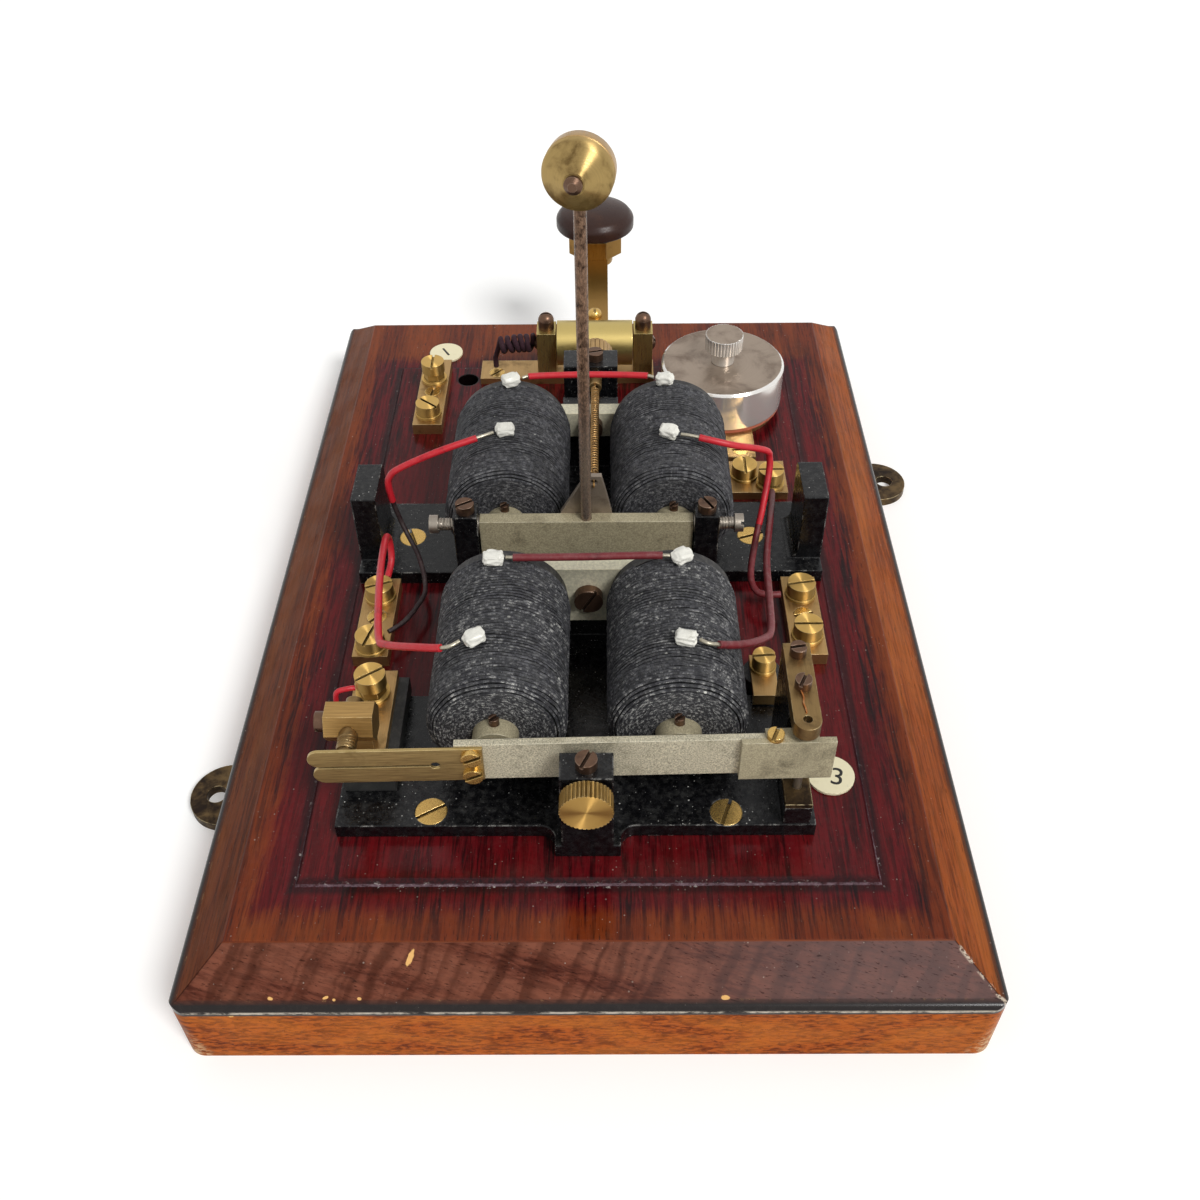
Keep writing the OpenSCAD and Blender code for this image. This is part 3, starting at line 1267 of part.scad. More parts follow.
module lower_bearing() {
  color("darkgoldenrod") difference() {
    block([relay_pivot_x - strap_w / 2, foot_y, foot_z],
      [relay_pivot_x + strap_w / 2, foot_y + bearing_foot_d, lower_bearing_z]);
    bar_z(foot_z - merge, lower_bearing_z + merge, relay_pivot_x, relay_pivot_y, relay_pin_d + 2 * run);
  }
}
module stop_screw() {
  knob_y0 = stop_post_y - pass / 4 - stop_collar_l - stop_knob_l;
  color("goldenrod") {
    translate([0, knob_y0, stop_z]) rotate([-90, 0, 0]) knurled(stop_knob_d, stop_knob_l, 36);
    bar_y(knob_y0 + merge, stop_post_y - pass / 4, 0, stop_z, stop_knob_d * 0.7);
    bar_y(knob_y0 + merge, open_front(0) - stop_gap, 0, stop_z, stop_d);
  }
}

// Contact on its insulated bracket
module insulator_block() {
  color("dimgray") difference() {
    block([insulator_x - insulator_w / 2, insulator_y, bed_z],
      [insulator_x + insulator_w / 2, insulator_y + insulator_l, bed_z + insulator_h]);
    terminal_holes();
  }
}
module contact_bracket() {
  color("darkgoldenrod") difference() {
    block([bracket_x - bracket_w / 2, bracket_y, bed_z + insulator_h],
      [bracket_x + bracket_w / 2, bracket_y + bracket_l, bracket_z]);
    terminal_holes();
  }
}
module contact_block() {
  low = contact_z - contact_h / 2;
  half = contact_side / 2 - merge;
  color("goldenrod") difference() {
    union() {
      translate([contact_x - contact_w / 2, contact_y, contact_z]) rotate([0, 90, 0]) rotate(30)
        cylinder(r = contact_side, h = contact_w, $fn = 6);
      block([bracket_x - contact_neck_w / 2, contact_y - half, bracket_z],
        [bracket_x + contact_neck_w / 2, contact_y + half, low + merge]);
    }
    translate([contact_x, contact_y, contact_z]) rotate([90, 0, 0]) rotate(contact_turn)
      cylinder(d = contact_d + 2 * fit, h = 2 * contact_h, center = true);
    bar_x(contact_x - contact_w, contact_x, contact_y, contact_z, lock_shank_d + 2 * fit);
  }
}
module contact_screw() {
  tip = open_front(contact_x) + contact_gap;
  rear = contact_y + contact_side + contact_tail;
  color("darkgoldenrod") difference() {
    union() {
      bar_y(tip + contact_tip_l, rear, contact_x, contact_z, contact_d);
      bar_y(tip, tip + contact_tip_l + merge, contact_x, contact_z, contact_d * 0.8);
    }
    translate([contact_x, rear, contact_z]) rotate([-90, 0, 0]) slot(contact_d, 0, contact_turn);
  }
}

// Terminals
module terminal_screws() {
  color("goldenrod") for (t = TERMINALS) translate([t[0], t[1], t[2]]) {
    cylinder(d = t[6] + washer_d - terminal_head_d, h = washer_t);
    if (t[5] > 0) cylinder(d = t[6] * 0.9, h = washer_t + t[5] + merge, $fn = 6);
    translate([0, 0, washer_t + t[5]])
      cheese_screw(t[6], terminal_head_h, lock_shank_d, t[3] + washer_t + t[5], t[4]);
  }
}
module relay_terminal_bush() {
  color([0.1, 0.1, 0.1]) difference() {
    bar_z(deck_z, bush_z, relay_terminal_x, relay_terminal_y, bush_d);
    terminal_holes();
  }
}
module relay_terminal_tongue() {
  front = relay_terminal_y - tongue_plate_l;
  left = relay_terminal_x - tongue_plate_w / 2;
  right = relay_terminal_x + tongue_plate_w / 2;
  color("goldenrod") difference() {
    union() {
      block([left, front, bush_z], [right, relay_terminal_y + washer_d / 2, bush_z + tongue_plate_t]);
      block([left, front, bush_z - tongue_drop], [right, front + tongue_plate_t, bush_z + merge]);
    }
    terminal_holes();
  }
}
module strip(x, front, length) {
  difference() {
    block([x - strip_w / 2, front, deck_z], [x + strip_w / 2, front + length, strip_z]);
    terminal_holes();
    countersunk_holes();
  }
}
module terminal_strips() {
  color("goldenrod") for (side = [-1, 1]) strip(side * side_strip_x, side_strip_front, side_strip_l);
}
module line_strip() {
  color("goldenrod") strip(line_strip_x, line_strip_front, line_strip_l);
}
module label_discs() {
  color("ivory") {
    bar_z(deck_z, deck_z + label_t, LABELS[0][0], LABELS[0][1], label_d);
    bar_z(field_z, field_z + label_t, LABELS[1][0], LABELS[1][1], label_d);
  }
}

// Lightning protector
module protector_plates() {
  half = protector_plate_w / 2;
  color("goldenrod") difference() {
    union() {
      block([drum_x - half, line_plate_front, deck_z], [drum_x + half, drum_y, protector_seat_z]);
      bar_z(deck_z, protector_seat_z, drum_x, drum_y, drum_d * 0.9);
      block([earth_plate_x - half, earth_plate_front, deck_z],
        [earth_plate_x + half, earth_plate_rear, protector_seat_z]);
    }
    bar_z(deck_z - merge, protector_seat_z + merge, drum_x, drum_y, stud_d + 2 * fit);
    terminal_holes();
    countersunk_holes();
  }
}
module protector_washer() {
  color("salmon") translate([drum_x, drum_y, protector_seat_z]) ring(drum_d - drum_edge, stud_d + 2 * fit, fibre_t);
}
drum_z = protector_seat_z + fibre_t;
module protector_drum() {
  color("silver") translate([drum_x, drum_y, drum_z]) difference() {
    union() {
      cylinder(d = drum_d, h = drum_h - drum_edge);
      translate([0, 0, drum_h - drum_edge]) cylinder(d1 = drum_d, d2 = drum_d - 2 * drum_edge, h = drum_edge);
    }
    translate([0, 0, -merge]) cylinder(d = stud_d + 2 * fit, h = drum_h + 2 * merge);
  }
}
nut_z = drum_z + drum_h + pass / 4;
module protector_stud() {
  color("goldenrod") bar_z(deck_z - deep, nut_z + nut_stem_h, drum_x, drum_y, stud_d);
}
module protector_nut() {
  color("silver") translate([drum_x, drum_y, nut_z]) difference() {
    union() {
      cylinder(d = nut_stem_d, h = nut_stem_h + merge);
      translate([0, 0, nut_stem_h]) knurled(nut_d, nut_h, 36);
    }
    translate([0, 0, -merge]) cylinder(d = stud_d + 2 * run, h = nut_stem_h + 2 * merge);
  }
}

// Tapper key
module tapper_plate() {
  color("goldenrod") difference() {
    block([tapper_x - tapper_plate_left, tapper_y - tapper_plate_d / 2, deck_z],
      [tapper_x + tapper_plate_right, tapper_y + tapper_plate_d / 2, tapper_seat_z]);
    countersunk_holes();
  }
}
module tapper_pillars() {
  color("goldenrod") for (side = [0, 1]) translate([tapper_x, 0, 0]) mirror([side, 0, 0]) difference() {
    block([pillar_in, tapper_y - pillar_d / 2, tapper_seat_z],
      [pillar_in + pillar_w, tapper_y + pillar_d / 2, pillar_top]);
    bar_x(pillar_in - merge, pillar_in + pillar_w + merge, tapper_y, tapper_z, tapper_pin_d + 2 * fit);
    bar_z(tapper_z, pillar_top + merge, pillar_in + pillar_w / 2, tapper_y, lock_shank_d + 2 * fit);
  }
}
module tapper_pivots() {
  pin_l = tapper_pin_in + pass + pillar_w;
  color("peru") for (side = [-1, 1])
    translate([tapper_x + side * (pillar_in + pillar_w), tapper_y, tapper_z]) rotate([0, side * 90, 0])
      round_screw(tapper_pin_d * 1.4, lock_head_h / 2, tapper_pin_d, pin_l, 30);
}
module tapper_lever() {
  color("goldenrod") difference() {
    union() {
      bar_x(tapper_x - barrel_l / 2, tapper_x + barrel_l / 2, tapper_y, tapper_z, barrel_d);
      block([tapper_x - lever_w / 2, tapper_y, lever_z - lever_t], [tapper_x + lever_w / 2, knob_y, lever_z]);
      bar_z(lever_z - lever_t, lever_z, tapper_x, knob_y, lever_w * 1.4);
    }
    for (side = [-1, 1]) translate([tapper_x + side * barrel_l / 2, tapper_y, tapper_z]) rotate([0, -side * 90, 0])
      translate([0, 0, -merge]) cylinder(d = tapper_pin_d + 2 * run, h = tapper_pin_in + pass + merge);
    bar_z(lever_z - lever_t / 2, lever_z + merge, tapper_x, tapper_y + barrel_d * 0.8, lock_shank_d + 2 * fit);
  }
}
module lever_screw() {
  color("gold") translate([tapper_x, tapper_y + barrel_d * 0.8, lever_z])
    round_screw(lock_head_d, lock_head_h, lock_shank_d, lever_t / 2 - fit, 90);
}
module tapper_collar() {
  color("goldenrod") translate([tapper_x, knob_y, lever_z]) rotate(360 / 16)
    cylinder(d = collar_w / cos(360 / 16), h = collar_h, $fn = 8);
}
module tapper_knob() {
  rim = knob_h * 0.36;
  color([0.27, 0.18, 0.16]) translate([tapper_x, knob_y, lever_z + collar_h]) rotate_extrude() {
    polygon([[0, 0], [knob_neck_d / 2, 0], [knob_neck_d / 2, rim / 3], [knob_d / 2 - rim / 2, rim / 2],
      [knob_d / 2 - rim / 2, 1.5 * rim], [knob_d * 0.34, knob_h * 0.84], [knob_d * 0.18, knob_h * 0.97],
      [0, knob_h]]);
    translate([knob_d / 2 - rim / 2, rim]) circle(d = rim);
  }
}
module tapper_spring() {
  color("peru") tube(KEY_SPRING, key_spring_wire, coil_sides);
}
module tapper_contact() {
  stem_h = lever_z - lever_t - key_gap - field_z - key_contact_d / 4;
  color("goldenrod") translate([tapper_x, tapper_y + key_contact_out, field_z]) {
    cylinder(d = key_contact_d, h = stem_h + merge);
    translate([0, 0, stem_h]) round_screw(key_contact_d, key_contact_d / 4, lock_shank_d, stem_h + deep - merge, 0);
  }
}
module pigtail() {
  tail_x = pigtail_end[0] - pigtail_wire;
  color([0.16, 0.09, 0.14]) tube(concat(PIGTAIL, [
    [tail_x, tapper_y, tapper_z - pigtail_wire],
    [tail_x, tapper_y + pigtail_wire / 2, tapper_seat_z + pass / 4]]), pigtail_wire, coil_sides);
}

base_board();
hanging_lugs();
countersunk_screws();
bed_casting();
magnet_yokes();
yoke_screws();
magnet_cores();
pole_shoes();
shoe_screws();
coil_bobbins();
coil_windings();
winding_turns();
lead_beads();
bridge_leads();
coil_leads();
contact_lead();
trunnion_screws();
lock_screws();
return_spring();
spring_adjuster();
adjuster_nut();
bearing_strap();
lower_bearing();
insulator_block();
contact_bracket();
contact_block();
contact_screw();
terminal_screws();
relay_terminal_bush();
relay_terminal_tongue();
terminal_strips();
line_strip();
protector_plates();
protector_washer();
protector_drum();
protector_stud();
protector_nut();
label_discs();
tapper_plate();
tapper_pillars();
tapper_pivots();
tapper_lever();
lever_screw();
tapper_collar();
tapper_knob();
tapper_spring();
tapper_contact();
pigtail();
bell_armature();
hammer_gusset();
hammer_rod();
hammer_head();
striking_pin();
relay_armature();
hinge_block();
contact_blade();
relay_screws();
relay_pin();
stop_screw();
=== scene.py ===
"""Looks of a railway block bell: its finishes, windings, leads, springs and small fittings."""

import math
from types import SimpleNamespace

import bpy
from mathutils import Matrix, Vector, noise


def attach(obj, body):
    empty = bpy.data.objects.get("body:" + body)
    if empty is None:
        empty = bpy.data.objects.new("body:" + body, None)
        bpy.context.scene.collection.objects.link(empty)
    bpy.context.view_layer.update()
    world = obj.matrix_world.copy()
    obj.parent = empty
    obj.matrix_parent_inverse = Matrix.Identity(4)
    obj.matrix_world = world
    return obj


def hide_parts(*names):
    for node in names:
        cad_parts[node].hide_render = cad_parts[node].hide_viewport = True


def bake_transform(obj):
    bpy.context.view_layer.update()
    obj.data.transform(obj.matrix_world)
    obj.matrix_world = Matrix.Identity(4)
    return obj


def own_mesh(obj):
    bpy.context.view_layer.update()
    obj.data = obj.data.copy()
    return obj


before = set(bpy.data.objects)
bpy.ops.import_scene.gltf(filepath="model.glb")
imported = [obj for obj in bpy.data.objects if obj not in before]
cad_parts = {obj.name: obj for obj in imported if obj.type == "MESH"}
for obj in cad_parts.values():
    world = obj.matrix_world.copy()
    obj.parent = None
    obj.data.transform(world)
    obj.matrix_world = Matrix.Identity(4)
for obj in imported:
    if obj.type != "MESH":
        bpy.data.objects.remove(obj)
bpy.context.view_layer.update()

bl_info = {
    "name": "Block bell looks",
    "version": (1, 0, 0),
    "blender": (4, 5, 0),
    "location": "3D View > Sidebar > Block bell",
    "description": "Finishes, windings, leads and springs of a railway block bell",
    "category": "Object",
}

MM = 0.001

# Routes of the leads in millimetres, from each coil's bead to its terminal
BELL_LEFT = [(-28.4, 1, 80), (-33, -1.6, 80), (-45, -5, 77.4), (-56.4, -5, 71.6), (-60, -4.6, 68),
             (-60.8, -4.4, 64), (-60, -4, 56), (-57.4, -6, 48), (-53, -13, 43), (-50, -25, 41),
             (-52, -33, 40.8), (-55, -39, 40.8), (-59, -43, 40.8)]
RELAY_LEFT = [(-31.4, -83.8, 79), (-35, -85.4, 78.4), (-43, -81, 74), (-52, -74, 67.6), (-55.2, -69, 65),
              (-58, -51, 62), (-60.2, -33, 58), (-61.4, -18, 54.4), (-61.6, -13, 51.4), (-61.4, -12.4, 47),
              (-61.4, -14.6, 43), (-62.2, -19.6, 40.8)]
BELL_RIGHT = [(27.2, -0.4, 80), (31, -1.4, 80), (42, -2.4, 77.6), (53, 3.6, 71), (55, 5, 67), (55, 3, 62),
              (53, -4, 54), (51, -10, 47), (49, -20, 42), (50, -26, 40.8), (53, -28, 40.8), (57.4, -28, 40.8)]
RELAY_RIGHT = [(28, -84, 79.4), (31, -85, 78.8), (39, -80.6, 74), (45.6, -73.4, 68.6), (48.4, -67, 65.4),
               (50, -51, 61), (52, -28, 55), (56, -3, 49), (58.4, 12, 45), (59.4, 19.4, 42)]
BELL_BRIDGE = [(-21, 28.6, 80.6), (-17, 29.4, 80.8), (0, 30, 80.8), (16, 29.4, 80.8), (20, 28.6, 80.6)]
RELAY_BRIDGE = [(-21.6, -54.2, 80), (-16, -54.4, 80.2), (0, -54, 80), (16, -53.8, 80.2), (21.8, -53.8, 80)]
CONTACT_LEAD = [(-62.8, -74, 51), (-65, -74.6, 51.2), (-67.4, -75, 50.6), (-68.2, -75.2, 48.6),
                (-68.4, -75.4, 44), (-68.4, -75.4, 36)]
STRAP_WIRE = [(52.9, -93.7, 73.6), (52.2, -95.2, 73.5), (52.6, -97.4, 73.2), (52.4, -99.4, 73.15),
              (52.7, -101.0, 73.1), (52.8, -102.2, 73.0)]

# Bright shares of two leads, bare ends of the bridges, the dark lead's share of the thickness, and thin wires
BELL_LEFT_BRIGHT = 0.43
BELL_RIGHT_BRIGHT = 0.62
BRIDGE_BARE_L = 2.0
DARK_LEAD_SHARE = 0.72
CONTACT_LEAD_D = 1.5
STRAP_WIRE_D = 0.5

# Beads in millimetres: middle of the foot and a turn in degrees, then the sizes that all of them share
BEADS = [((-24.9, 2.2, 78.6), 8), ((23.7, 0.8, 78.6), -25), ((-24.6, 28.2, 78.6), 20),
         ((23.4, 28.2, 78.6), -10), ((-27.8, -83, 78), 30), ((24.6, -83.4, 78), -12), ((-24.9, -54, 78), 5),
         ((25, -53.6, 78), 35)]
BEAD_SIZE = (5.6, 4.4, 3.5)
BEAD_BEVEL = 1.3
BEAD_LUMPS = 0.42
BEAD_LIFT = 1.7

# Coils in millimetres: side, front end, length, radius, and the two sizes of the rounded front shoulder
COILS = {
    "relay_winding_left": (-22.8, -97.5, 46.5, 18.0, 2.0, 2.6),
    "relay_winding_right": (22.8, -97.5, 46.5, 18.0, 2.2, 3.0),
    "bell_winding_left": (-24.8, -16.0, 45.0, 18.6, 1.8, 2.4),
    "bell_winding_right": (24.8, -16.0, 45.0, 18.6, 2.0, 2.8),
}
MAGNET_AXIS_Z = 60.0
COIL_SIDE = 23.8
SHOE_R = 5.8

# A coil's front: its dish, the shares of slope and curve in its shoulder, and the unevenness of its turns
COIL_DISH = 1.1
SHOULDER_SLOPE = 0.6
SHOULDER_CURVE = 0.4
COIL_DENT = 0.3
COIL_FINE_DENT = 0.25
COIL_STRAY = 0.45

# Springs and pigtail in millimetres: radius of the turns, thickness of the wire and number of turns
RETURN_SPRING = (1.1, 0.6, 38)
TAPPER_SPRING = (3.0, 1.0, 7)
PIGTAIL = (2.9, 2.0, 5)
PIGTAIL_STRAY = 1.1

# Screw threads in millimetres
THREAD_RIDGE_D = 0.55
THREAD_PITCH = 0.85

# The base in millimetres: half sizes of the board and its panel, and how far forward the panel lies
BASE_SIDE = 101.6
BASE_END = 152.4
PANEL_SIDE = 73.4
PANEL_END = 114.95
PANEL_FORWARD = 9.05
WIRE_HOLE = (-47.0, 96.5, 0.0)

# Margin of the dark varnish at the panel's sides, and heights where one moulding of the base meets the next
VARNISH_MARGIN = 2.5
TOP_Z = (31.9, 32.3)
BEVEL_Z = (23.2, 23.8)
EDGE_Z = (20.9, 20.4)
# Height of a painted highlight that runs along the bead
BEAD_HIGHLIGHT_Z = 22.1

# Pale chips in the wood: middle, half sizes and turn
CHIPS = [((-42.8, -142.2, 29.7), (0.8, 2.6, 2.6), 0.5), ((33.0, -149.7, 23.9), (1.4, 0.7, 0.7), 0.0),
         ((-86.0, -151.6, 20.6), (2.6, 1.0, 0.9), 0.0), ((97.5, -150.6, 19.8), (1.6, 1.4, 1.6), 0.0),
         ((-76.3, -149.6, 23.9), (0.9, 0.5, 0.5), 0.3), ((-63.1, -149.5, 24.0), (1.1, 0.4, 0.5), -0.4),
         ((-54.8, -149.7, 23.9), (0.7, 0.5, 0.5), 0.2), ((-61.0, -149.9, 23.7), (0.5, 0.4, 0.4), 0.0)]

# Middles of the pieces that were turned in a lathe, and the axes that they were turned about
TERMINALS = [(-63.8, -25.6, 0.0), (-63.8, -46.7, 0.0), (63.8, -25.6, 0.0), (63.8, -43.0, 0.0),
             (-58.8, 69.0, 0.0), (-58.8, 90.8, 0.0), (-58.6, -72.6, 0.0), (48.8, -60.0, 0.0),
             (51.7, 33.8, 0.0), (60.1, 28.9, 0.0)]
STOP_MIDDLE = (0.0, 0.0, 61.0)
HEAD_MIDDLE = (-0.8, -23.2, 171.5)
DRUM_MIDDLE = (46.8, 79.0, 0.0)
ALONG_Y = (0.0, 1.0, 0.0)
ALONG_Z = (0.0, 0.0, 1.0)

# The camera: pitch, yaw and roll in degrees, place in millimetres, focal length and picture in pixels
CAMERA_TURN = (44.158, -0.48, -0.623)
CAMERA_SPOT = (5.192, -293.301, 296.397)
CAMERA_LENGTH = 1221.333
PICTURE = 1200
SENSOR_MM = 36.0


def linear(code):
    """Scene-linear red, green and blue of a screen colour such as #804020."""
    parts = [int(code[i:i + 2], 16) / 255 for i in (1, 3, 5)]
    return tuple(c / 12.92 if c <= 0.04045 else ((c + 0.055) / 1.055) ** 2.4 for c in parts)


def paint(colour):
    """A colour socket's value, from a screen colour or a setting."""
    return (*(linear(colour) if isinstance(colour, str) else colour), 1.0)


def colour_property(name, description, code):
    """A colour that the user can change."""
    return bpy.props.FloatVectorProperty(
        name=name, description=description, default=linear(code), size=3, min=0.0, max=1.0, subtype="COLOR")


def length_property(name, description, default):
    """A length in millimetres that the user can change."""
    return bpy.props.FloatProperty(
        name=name, description=description, default=default * MM, min=0.0, unit="LENGTH", precision=5)


class WoodSettings(bpy.types.PropertyGroup):
    """Colours of the wooden base."""

    panel: colour_property("Panel", "Dark varnish on the panel and round it", "#5a0e14")
    field: colour_property("Field", "Faded wood outside the dark varnish", "#6b2a10")
    bevel: colour_property("Bevel", "Wood of the front and rear sloping edges", "#6a3b2d")
    edge: colour_property("Edge", "Wood of the upright edge", "#ab551e")
    bead: colour_property("Bead", "Blackened bead below the bevel", "#130b09")


class MetalSettings(bpy.types.PropertyGroup):
    """Colours of the metals."""

    brass: colour_property("Brass", "Clean brass", "#d2ac63")
    old_brass: colour_property("Old brass", "Dull lacquered brass", "#b3915f")
    tarnish: colour_property("Tarnish", "Brown tarnish on brass", "#6d5530")
    iron: colour_property("Soft iron", "Grained soft iron", "#c0b595")
    bronzed: colour_property("Bronzed steel", "Oil-bronzed screws", "#6b5242")
    rust: colour_property("Rust", "Rust on the hammer rod", "#2b1a13")
    nickel: colour_property("Nickel", "Polished nickel", "#ece9e4")
    japan: colour_property("Black japan", "Black finish of the bed casting", "#08080a")


class SmallPieceSettings(bpy.types.PropertyGroup):
    """Sizes and colours of the windings, leads and springs."""

    thread_pitch: length_property("Thread pitch", "Distance between turns of the outer layer", 1.0)
    thread_d: length_property("Thread", "Thickness of the cloth-covered wire", 0.96)
    cloth: colour_property("Winding cloth", "Black cloth of the windings", "#0e0e10")
    lead_d: length_property("Lead", "Diameter of the red leads", 2.1)
    bare_d: length_property("Bare end", "Diameter of a bare tinned end", 1.1)
    bare_l: length_property("Bare length", "Length of a bare tinned end", 5.5)
    red: colour_property("Lead red", "Bright red insulation", "#c0202c")
    maroon: colour_property("Lead maroon", "Faded and soiled insulation", "#6a1c22")
    ebonite: colour_property("Ebonite", "Brown ebonite of the knob", "#33211c")


class StageSettings(bpy.types.PropertyGroup):
    """Light and floor."""

    floor: colour_property("Floor", "Plain pale floor", "#f4f4f2")
    key_level: bpy.props.FloatProperty(
        name="Key light", description="Strength of the main lamp", default=2.3, min=0.0)
    key_spread: bpy.props.FloatProperty(
        name="Key spread", description="Angle that the main lamp fills", default=math.radians(20),
        subtype="ANGLE")
    sky_level: bpy.props.FloatProperty(
        name="Sky level", description="Even light from above", default=0.42, min=0.0, max=1.0)
    wall_level: bpy.props.FloatProperty(
        name="Wall level", description="Light of the pale walls round the horizon", default=0.65, min=0.0,
        max=1.0)


class BlockBellSettings(bpy.types.PropertyGroup):
    """Everything that a user would change on the block bell."""

    wood: bpy.props.PointerProperty(type=WoodSettings, name="Wood", description="Colours of the base")
    metal: bpy.props.PointerProperty(type=MetalSettings, name="Metal", description="Colours of the metals")
    small: bpy.props.PointerProperty(
        type=SmallPieceSettings, name="Small pieces", description="Wire and thread")
    stage: bpy.props.PointerProperty(type=StageSettings, name="Stage", description="Light and floor")


# Node trees

class Field:
    """A node's output, so that a pattern can be written as a formula."""

    def __init__(self, tree, socket):
        self.tree = tree
        self.socket = socket

    def __add__(self, other):
        return sums(self.tree, "ADD", self, other)

    def __sub__(self, other):
        return sums(self.tree, "SUBTRACT", self, other)

    def __rsub__(self, other):
        return sums(self.tree, "SUBTRACT", other, self)

    def __mul__(self, other):
        return sums(self.tree, "MULTIPLY", self, other)

    def __rtruediv__(self, other):
        return sums(self.tree, "DIVIDE", other, self)

    def __pow__(self, other):
        return sums(self.tree, "POWER", self, other)

    def __abs__(self):
        return sums(self.tree, "ABSOLUTE", self)

    def most(self, other):
        """The greater of two numbers."""
        return sums(self.tree, "MAXIMUM", self, other)

    def least(self, other):
        """The smaller of two numbers."""
        return sums(self.tree, "MINIMUM", self, other)

    def span(self, low, high, to_low=0.0, to_high=1.0):
        """A number carried from one range to another and kept inside it."""
        inputs = {"Value": self, "From Min": low, "From Max": high, "To Min": to_low, "To Max": to_high}
        return value_of(self.tree, "ShaderNodeMapRange", "Result", inputs, interpolation_type="SMOOTHSTEP")

    def bands(self, scale, detail):
        """Noise along a number."""
        inputs = {"W": self, "Scale": scale, "Detail": detail}
        return value_of(self.tree, "ShaderNodeTexNoise", 0, inputs, noise_dimensions="1D")

    def parts(self):
        """The three coordinates of a vector."""
        return [Field(self.tree, part) for part in add(self.tree, "ShaderNodeSeparateXYZ", {0: self}).outputs]

    def vector(self, operation, other=(0.0, 0.0, 0.0), result="Vector"):
        """What a Vector Math node makes of one or two vectors."""
        return value_of(self.tree, "ShaderNodeVectorMath", result, {0: self, 1: other}, operation=operation)

    def stretched(self, scale, turn=(0.0, 0.0, 0.0)):
        """Coordinates turned and scaled for a pattern."""
        return value_of(self.tree, "ShaderNodeMapping", 0, {"Vector": self, "Rotation": turn, "Scale": scale})

    def cloud(self, scale, detail=4.0, roughness=0.55, distortion=0.0):
        """Noise at a place, with features about one over the scale wide."""
        inputs = {"Vector": self, "Scale": scale, "Detail": detail, "Roughness": roughness,
                  "Distortion": distortion}
        return value_of(self.tree, "ShaderNodeTexNoise", 0, inputs)

    def tinted(self, mask, colour):
        """A colour with another one laid over it by a mask."""
        return mix(self.tree, mask, self, colour)


def put(socket, value):
    """Link a socket to a field, or set it to a fixed value."""
    if isinstance(value, Field):
        value.tree.links.new(value.socket, socket)
    else:
        socket.default_value = value


def feed(node, values):
    """Link or set a node's inputs by name or number."""
    for key, value in values.items():
        put(node.inputs[key], value)


def add(tree, kind, inputs=None, **options):
    """Add a node with its options and inputs."""
    node = tree.nodes.new(kind)
    for key, value in options.items():
        setattr(node, key, value)
    feed(node, inputs or {})
    return node


def value_of(tree, kind, output, inputs=None, **options):
    """Add a node and return one of its outputs."""
    return Field(tree, add(tree, kind, inputs, **options).outputs[output])


def sums(tree, operation, a, b=0.0):
    """What a Math node makes of one or two numbers."""
    return value_of(tree, "ShaderNodeMath", 0, {0: a, 1: b}, operation=operation)


def mix(tree, factor, a, b, mode="MIX"):
    """Two colours mixed by a factor. A colour is a field, a setting or a screen colour."""
    first, second = (c if isinstance(c, Field) else paint(c) for c in (a, b))
    inputs = {0: factor, 6: first, 7: second}
    return value_of(tree, "ShaderNodeMix", 2, inputs, data_type="RGBA", blend_type=mode)


def mix_vector(factor, a, b):
    """Two vectors mixed by a factor."""
    return value_of(factor.tree, "ShaderNodeMix", 1, {0: factor, 4: a, 5: b}, data_type="VECTOR")


def place(tree):
    """Object coordinates in millimetres."""
    inputs = {0: value_of(tree, "ShaderNodeTexCoord", "Object"), "Scale": 1 / MM}
    return value_of(tree, "ShaderNodeVectorMath", 0, inputs, operation="SCALE")


def facing(tree):
    """The direction that a surface faces."""
    return value_of(tree, "ShaderNodeNewGeometry", "Normal")


def open_air(tree, distance, samples):
    """1 in the open and less in slots and corners, from a piece's own faces within a distance."""
    inputs = {"Distance": distance}
    return value_of(tree, "ShaderNodeAmbientOcclusion", "AO", inputs, samples=samples, only_local=True)


def seen_rays(tree):
    """1 for what the camera sees, directly or in metal and glass, else 0."""
    rays = tree.nodes.new("ShaderNodeLightPath").outputs
    kinds = ("Is Camera Ray", "Is Glossy Ray", "Is Transmission Ray")
    camera, glossy, clear = (Field(tree, rays[kind]) for kind in kinds)
    return camera.most(glossy).most(clear)


def relief(height, depth, strength, normal=None):
    """A bumped normal of the given depth in metres."""
    inputs = {"Height": height, "Distance": depth, "Strength": strength}
    if normal is not None:
        inputs["Normal"] = normal
    return value_of(height.tree, "ShaderNodeBump", "Normal", inputs)


def new_group(name, inputs, outputs):
    """An empty shader node group: its tree, its inputs by name and its output node."""
    tree = bpy.data.node_groups.new(name, "ShaderNodeTree")
    for label, (kind, default) in inputs.items():
        socket = tree.interface.new_socket(name=label, in_out="INPUT", socket_type="NodeSocket" + kind)
        socket.default_value = default
    for label, kind in outputs.items():
        tree.interface.new_socket(name=label, in_out="OUTPUT", socket_type="NodeSocket" + kind)
    given = {socket.name: Field(tree, socket) for socket in tree.nodes.new("NodeGroupInput").outputs}
    return tree, given, tree.nodes.new("NodeGroupOutput")


def use_group(tree, name, values):
    """Place a shader node group with its own values and return its outputs by name."""
    node = tree.nodes.new("ShaderNodeGroup")
    node.node_tree = bpy.data.node_groups[name]
    feed(node, values)
    return {socket.name: Field(tree, socket) for socket in node.outputs}


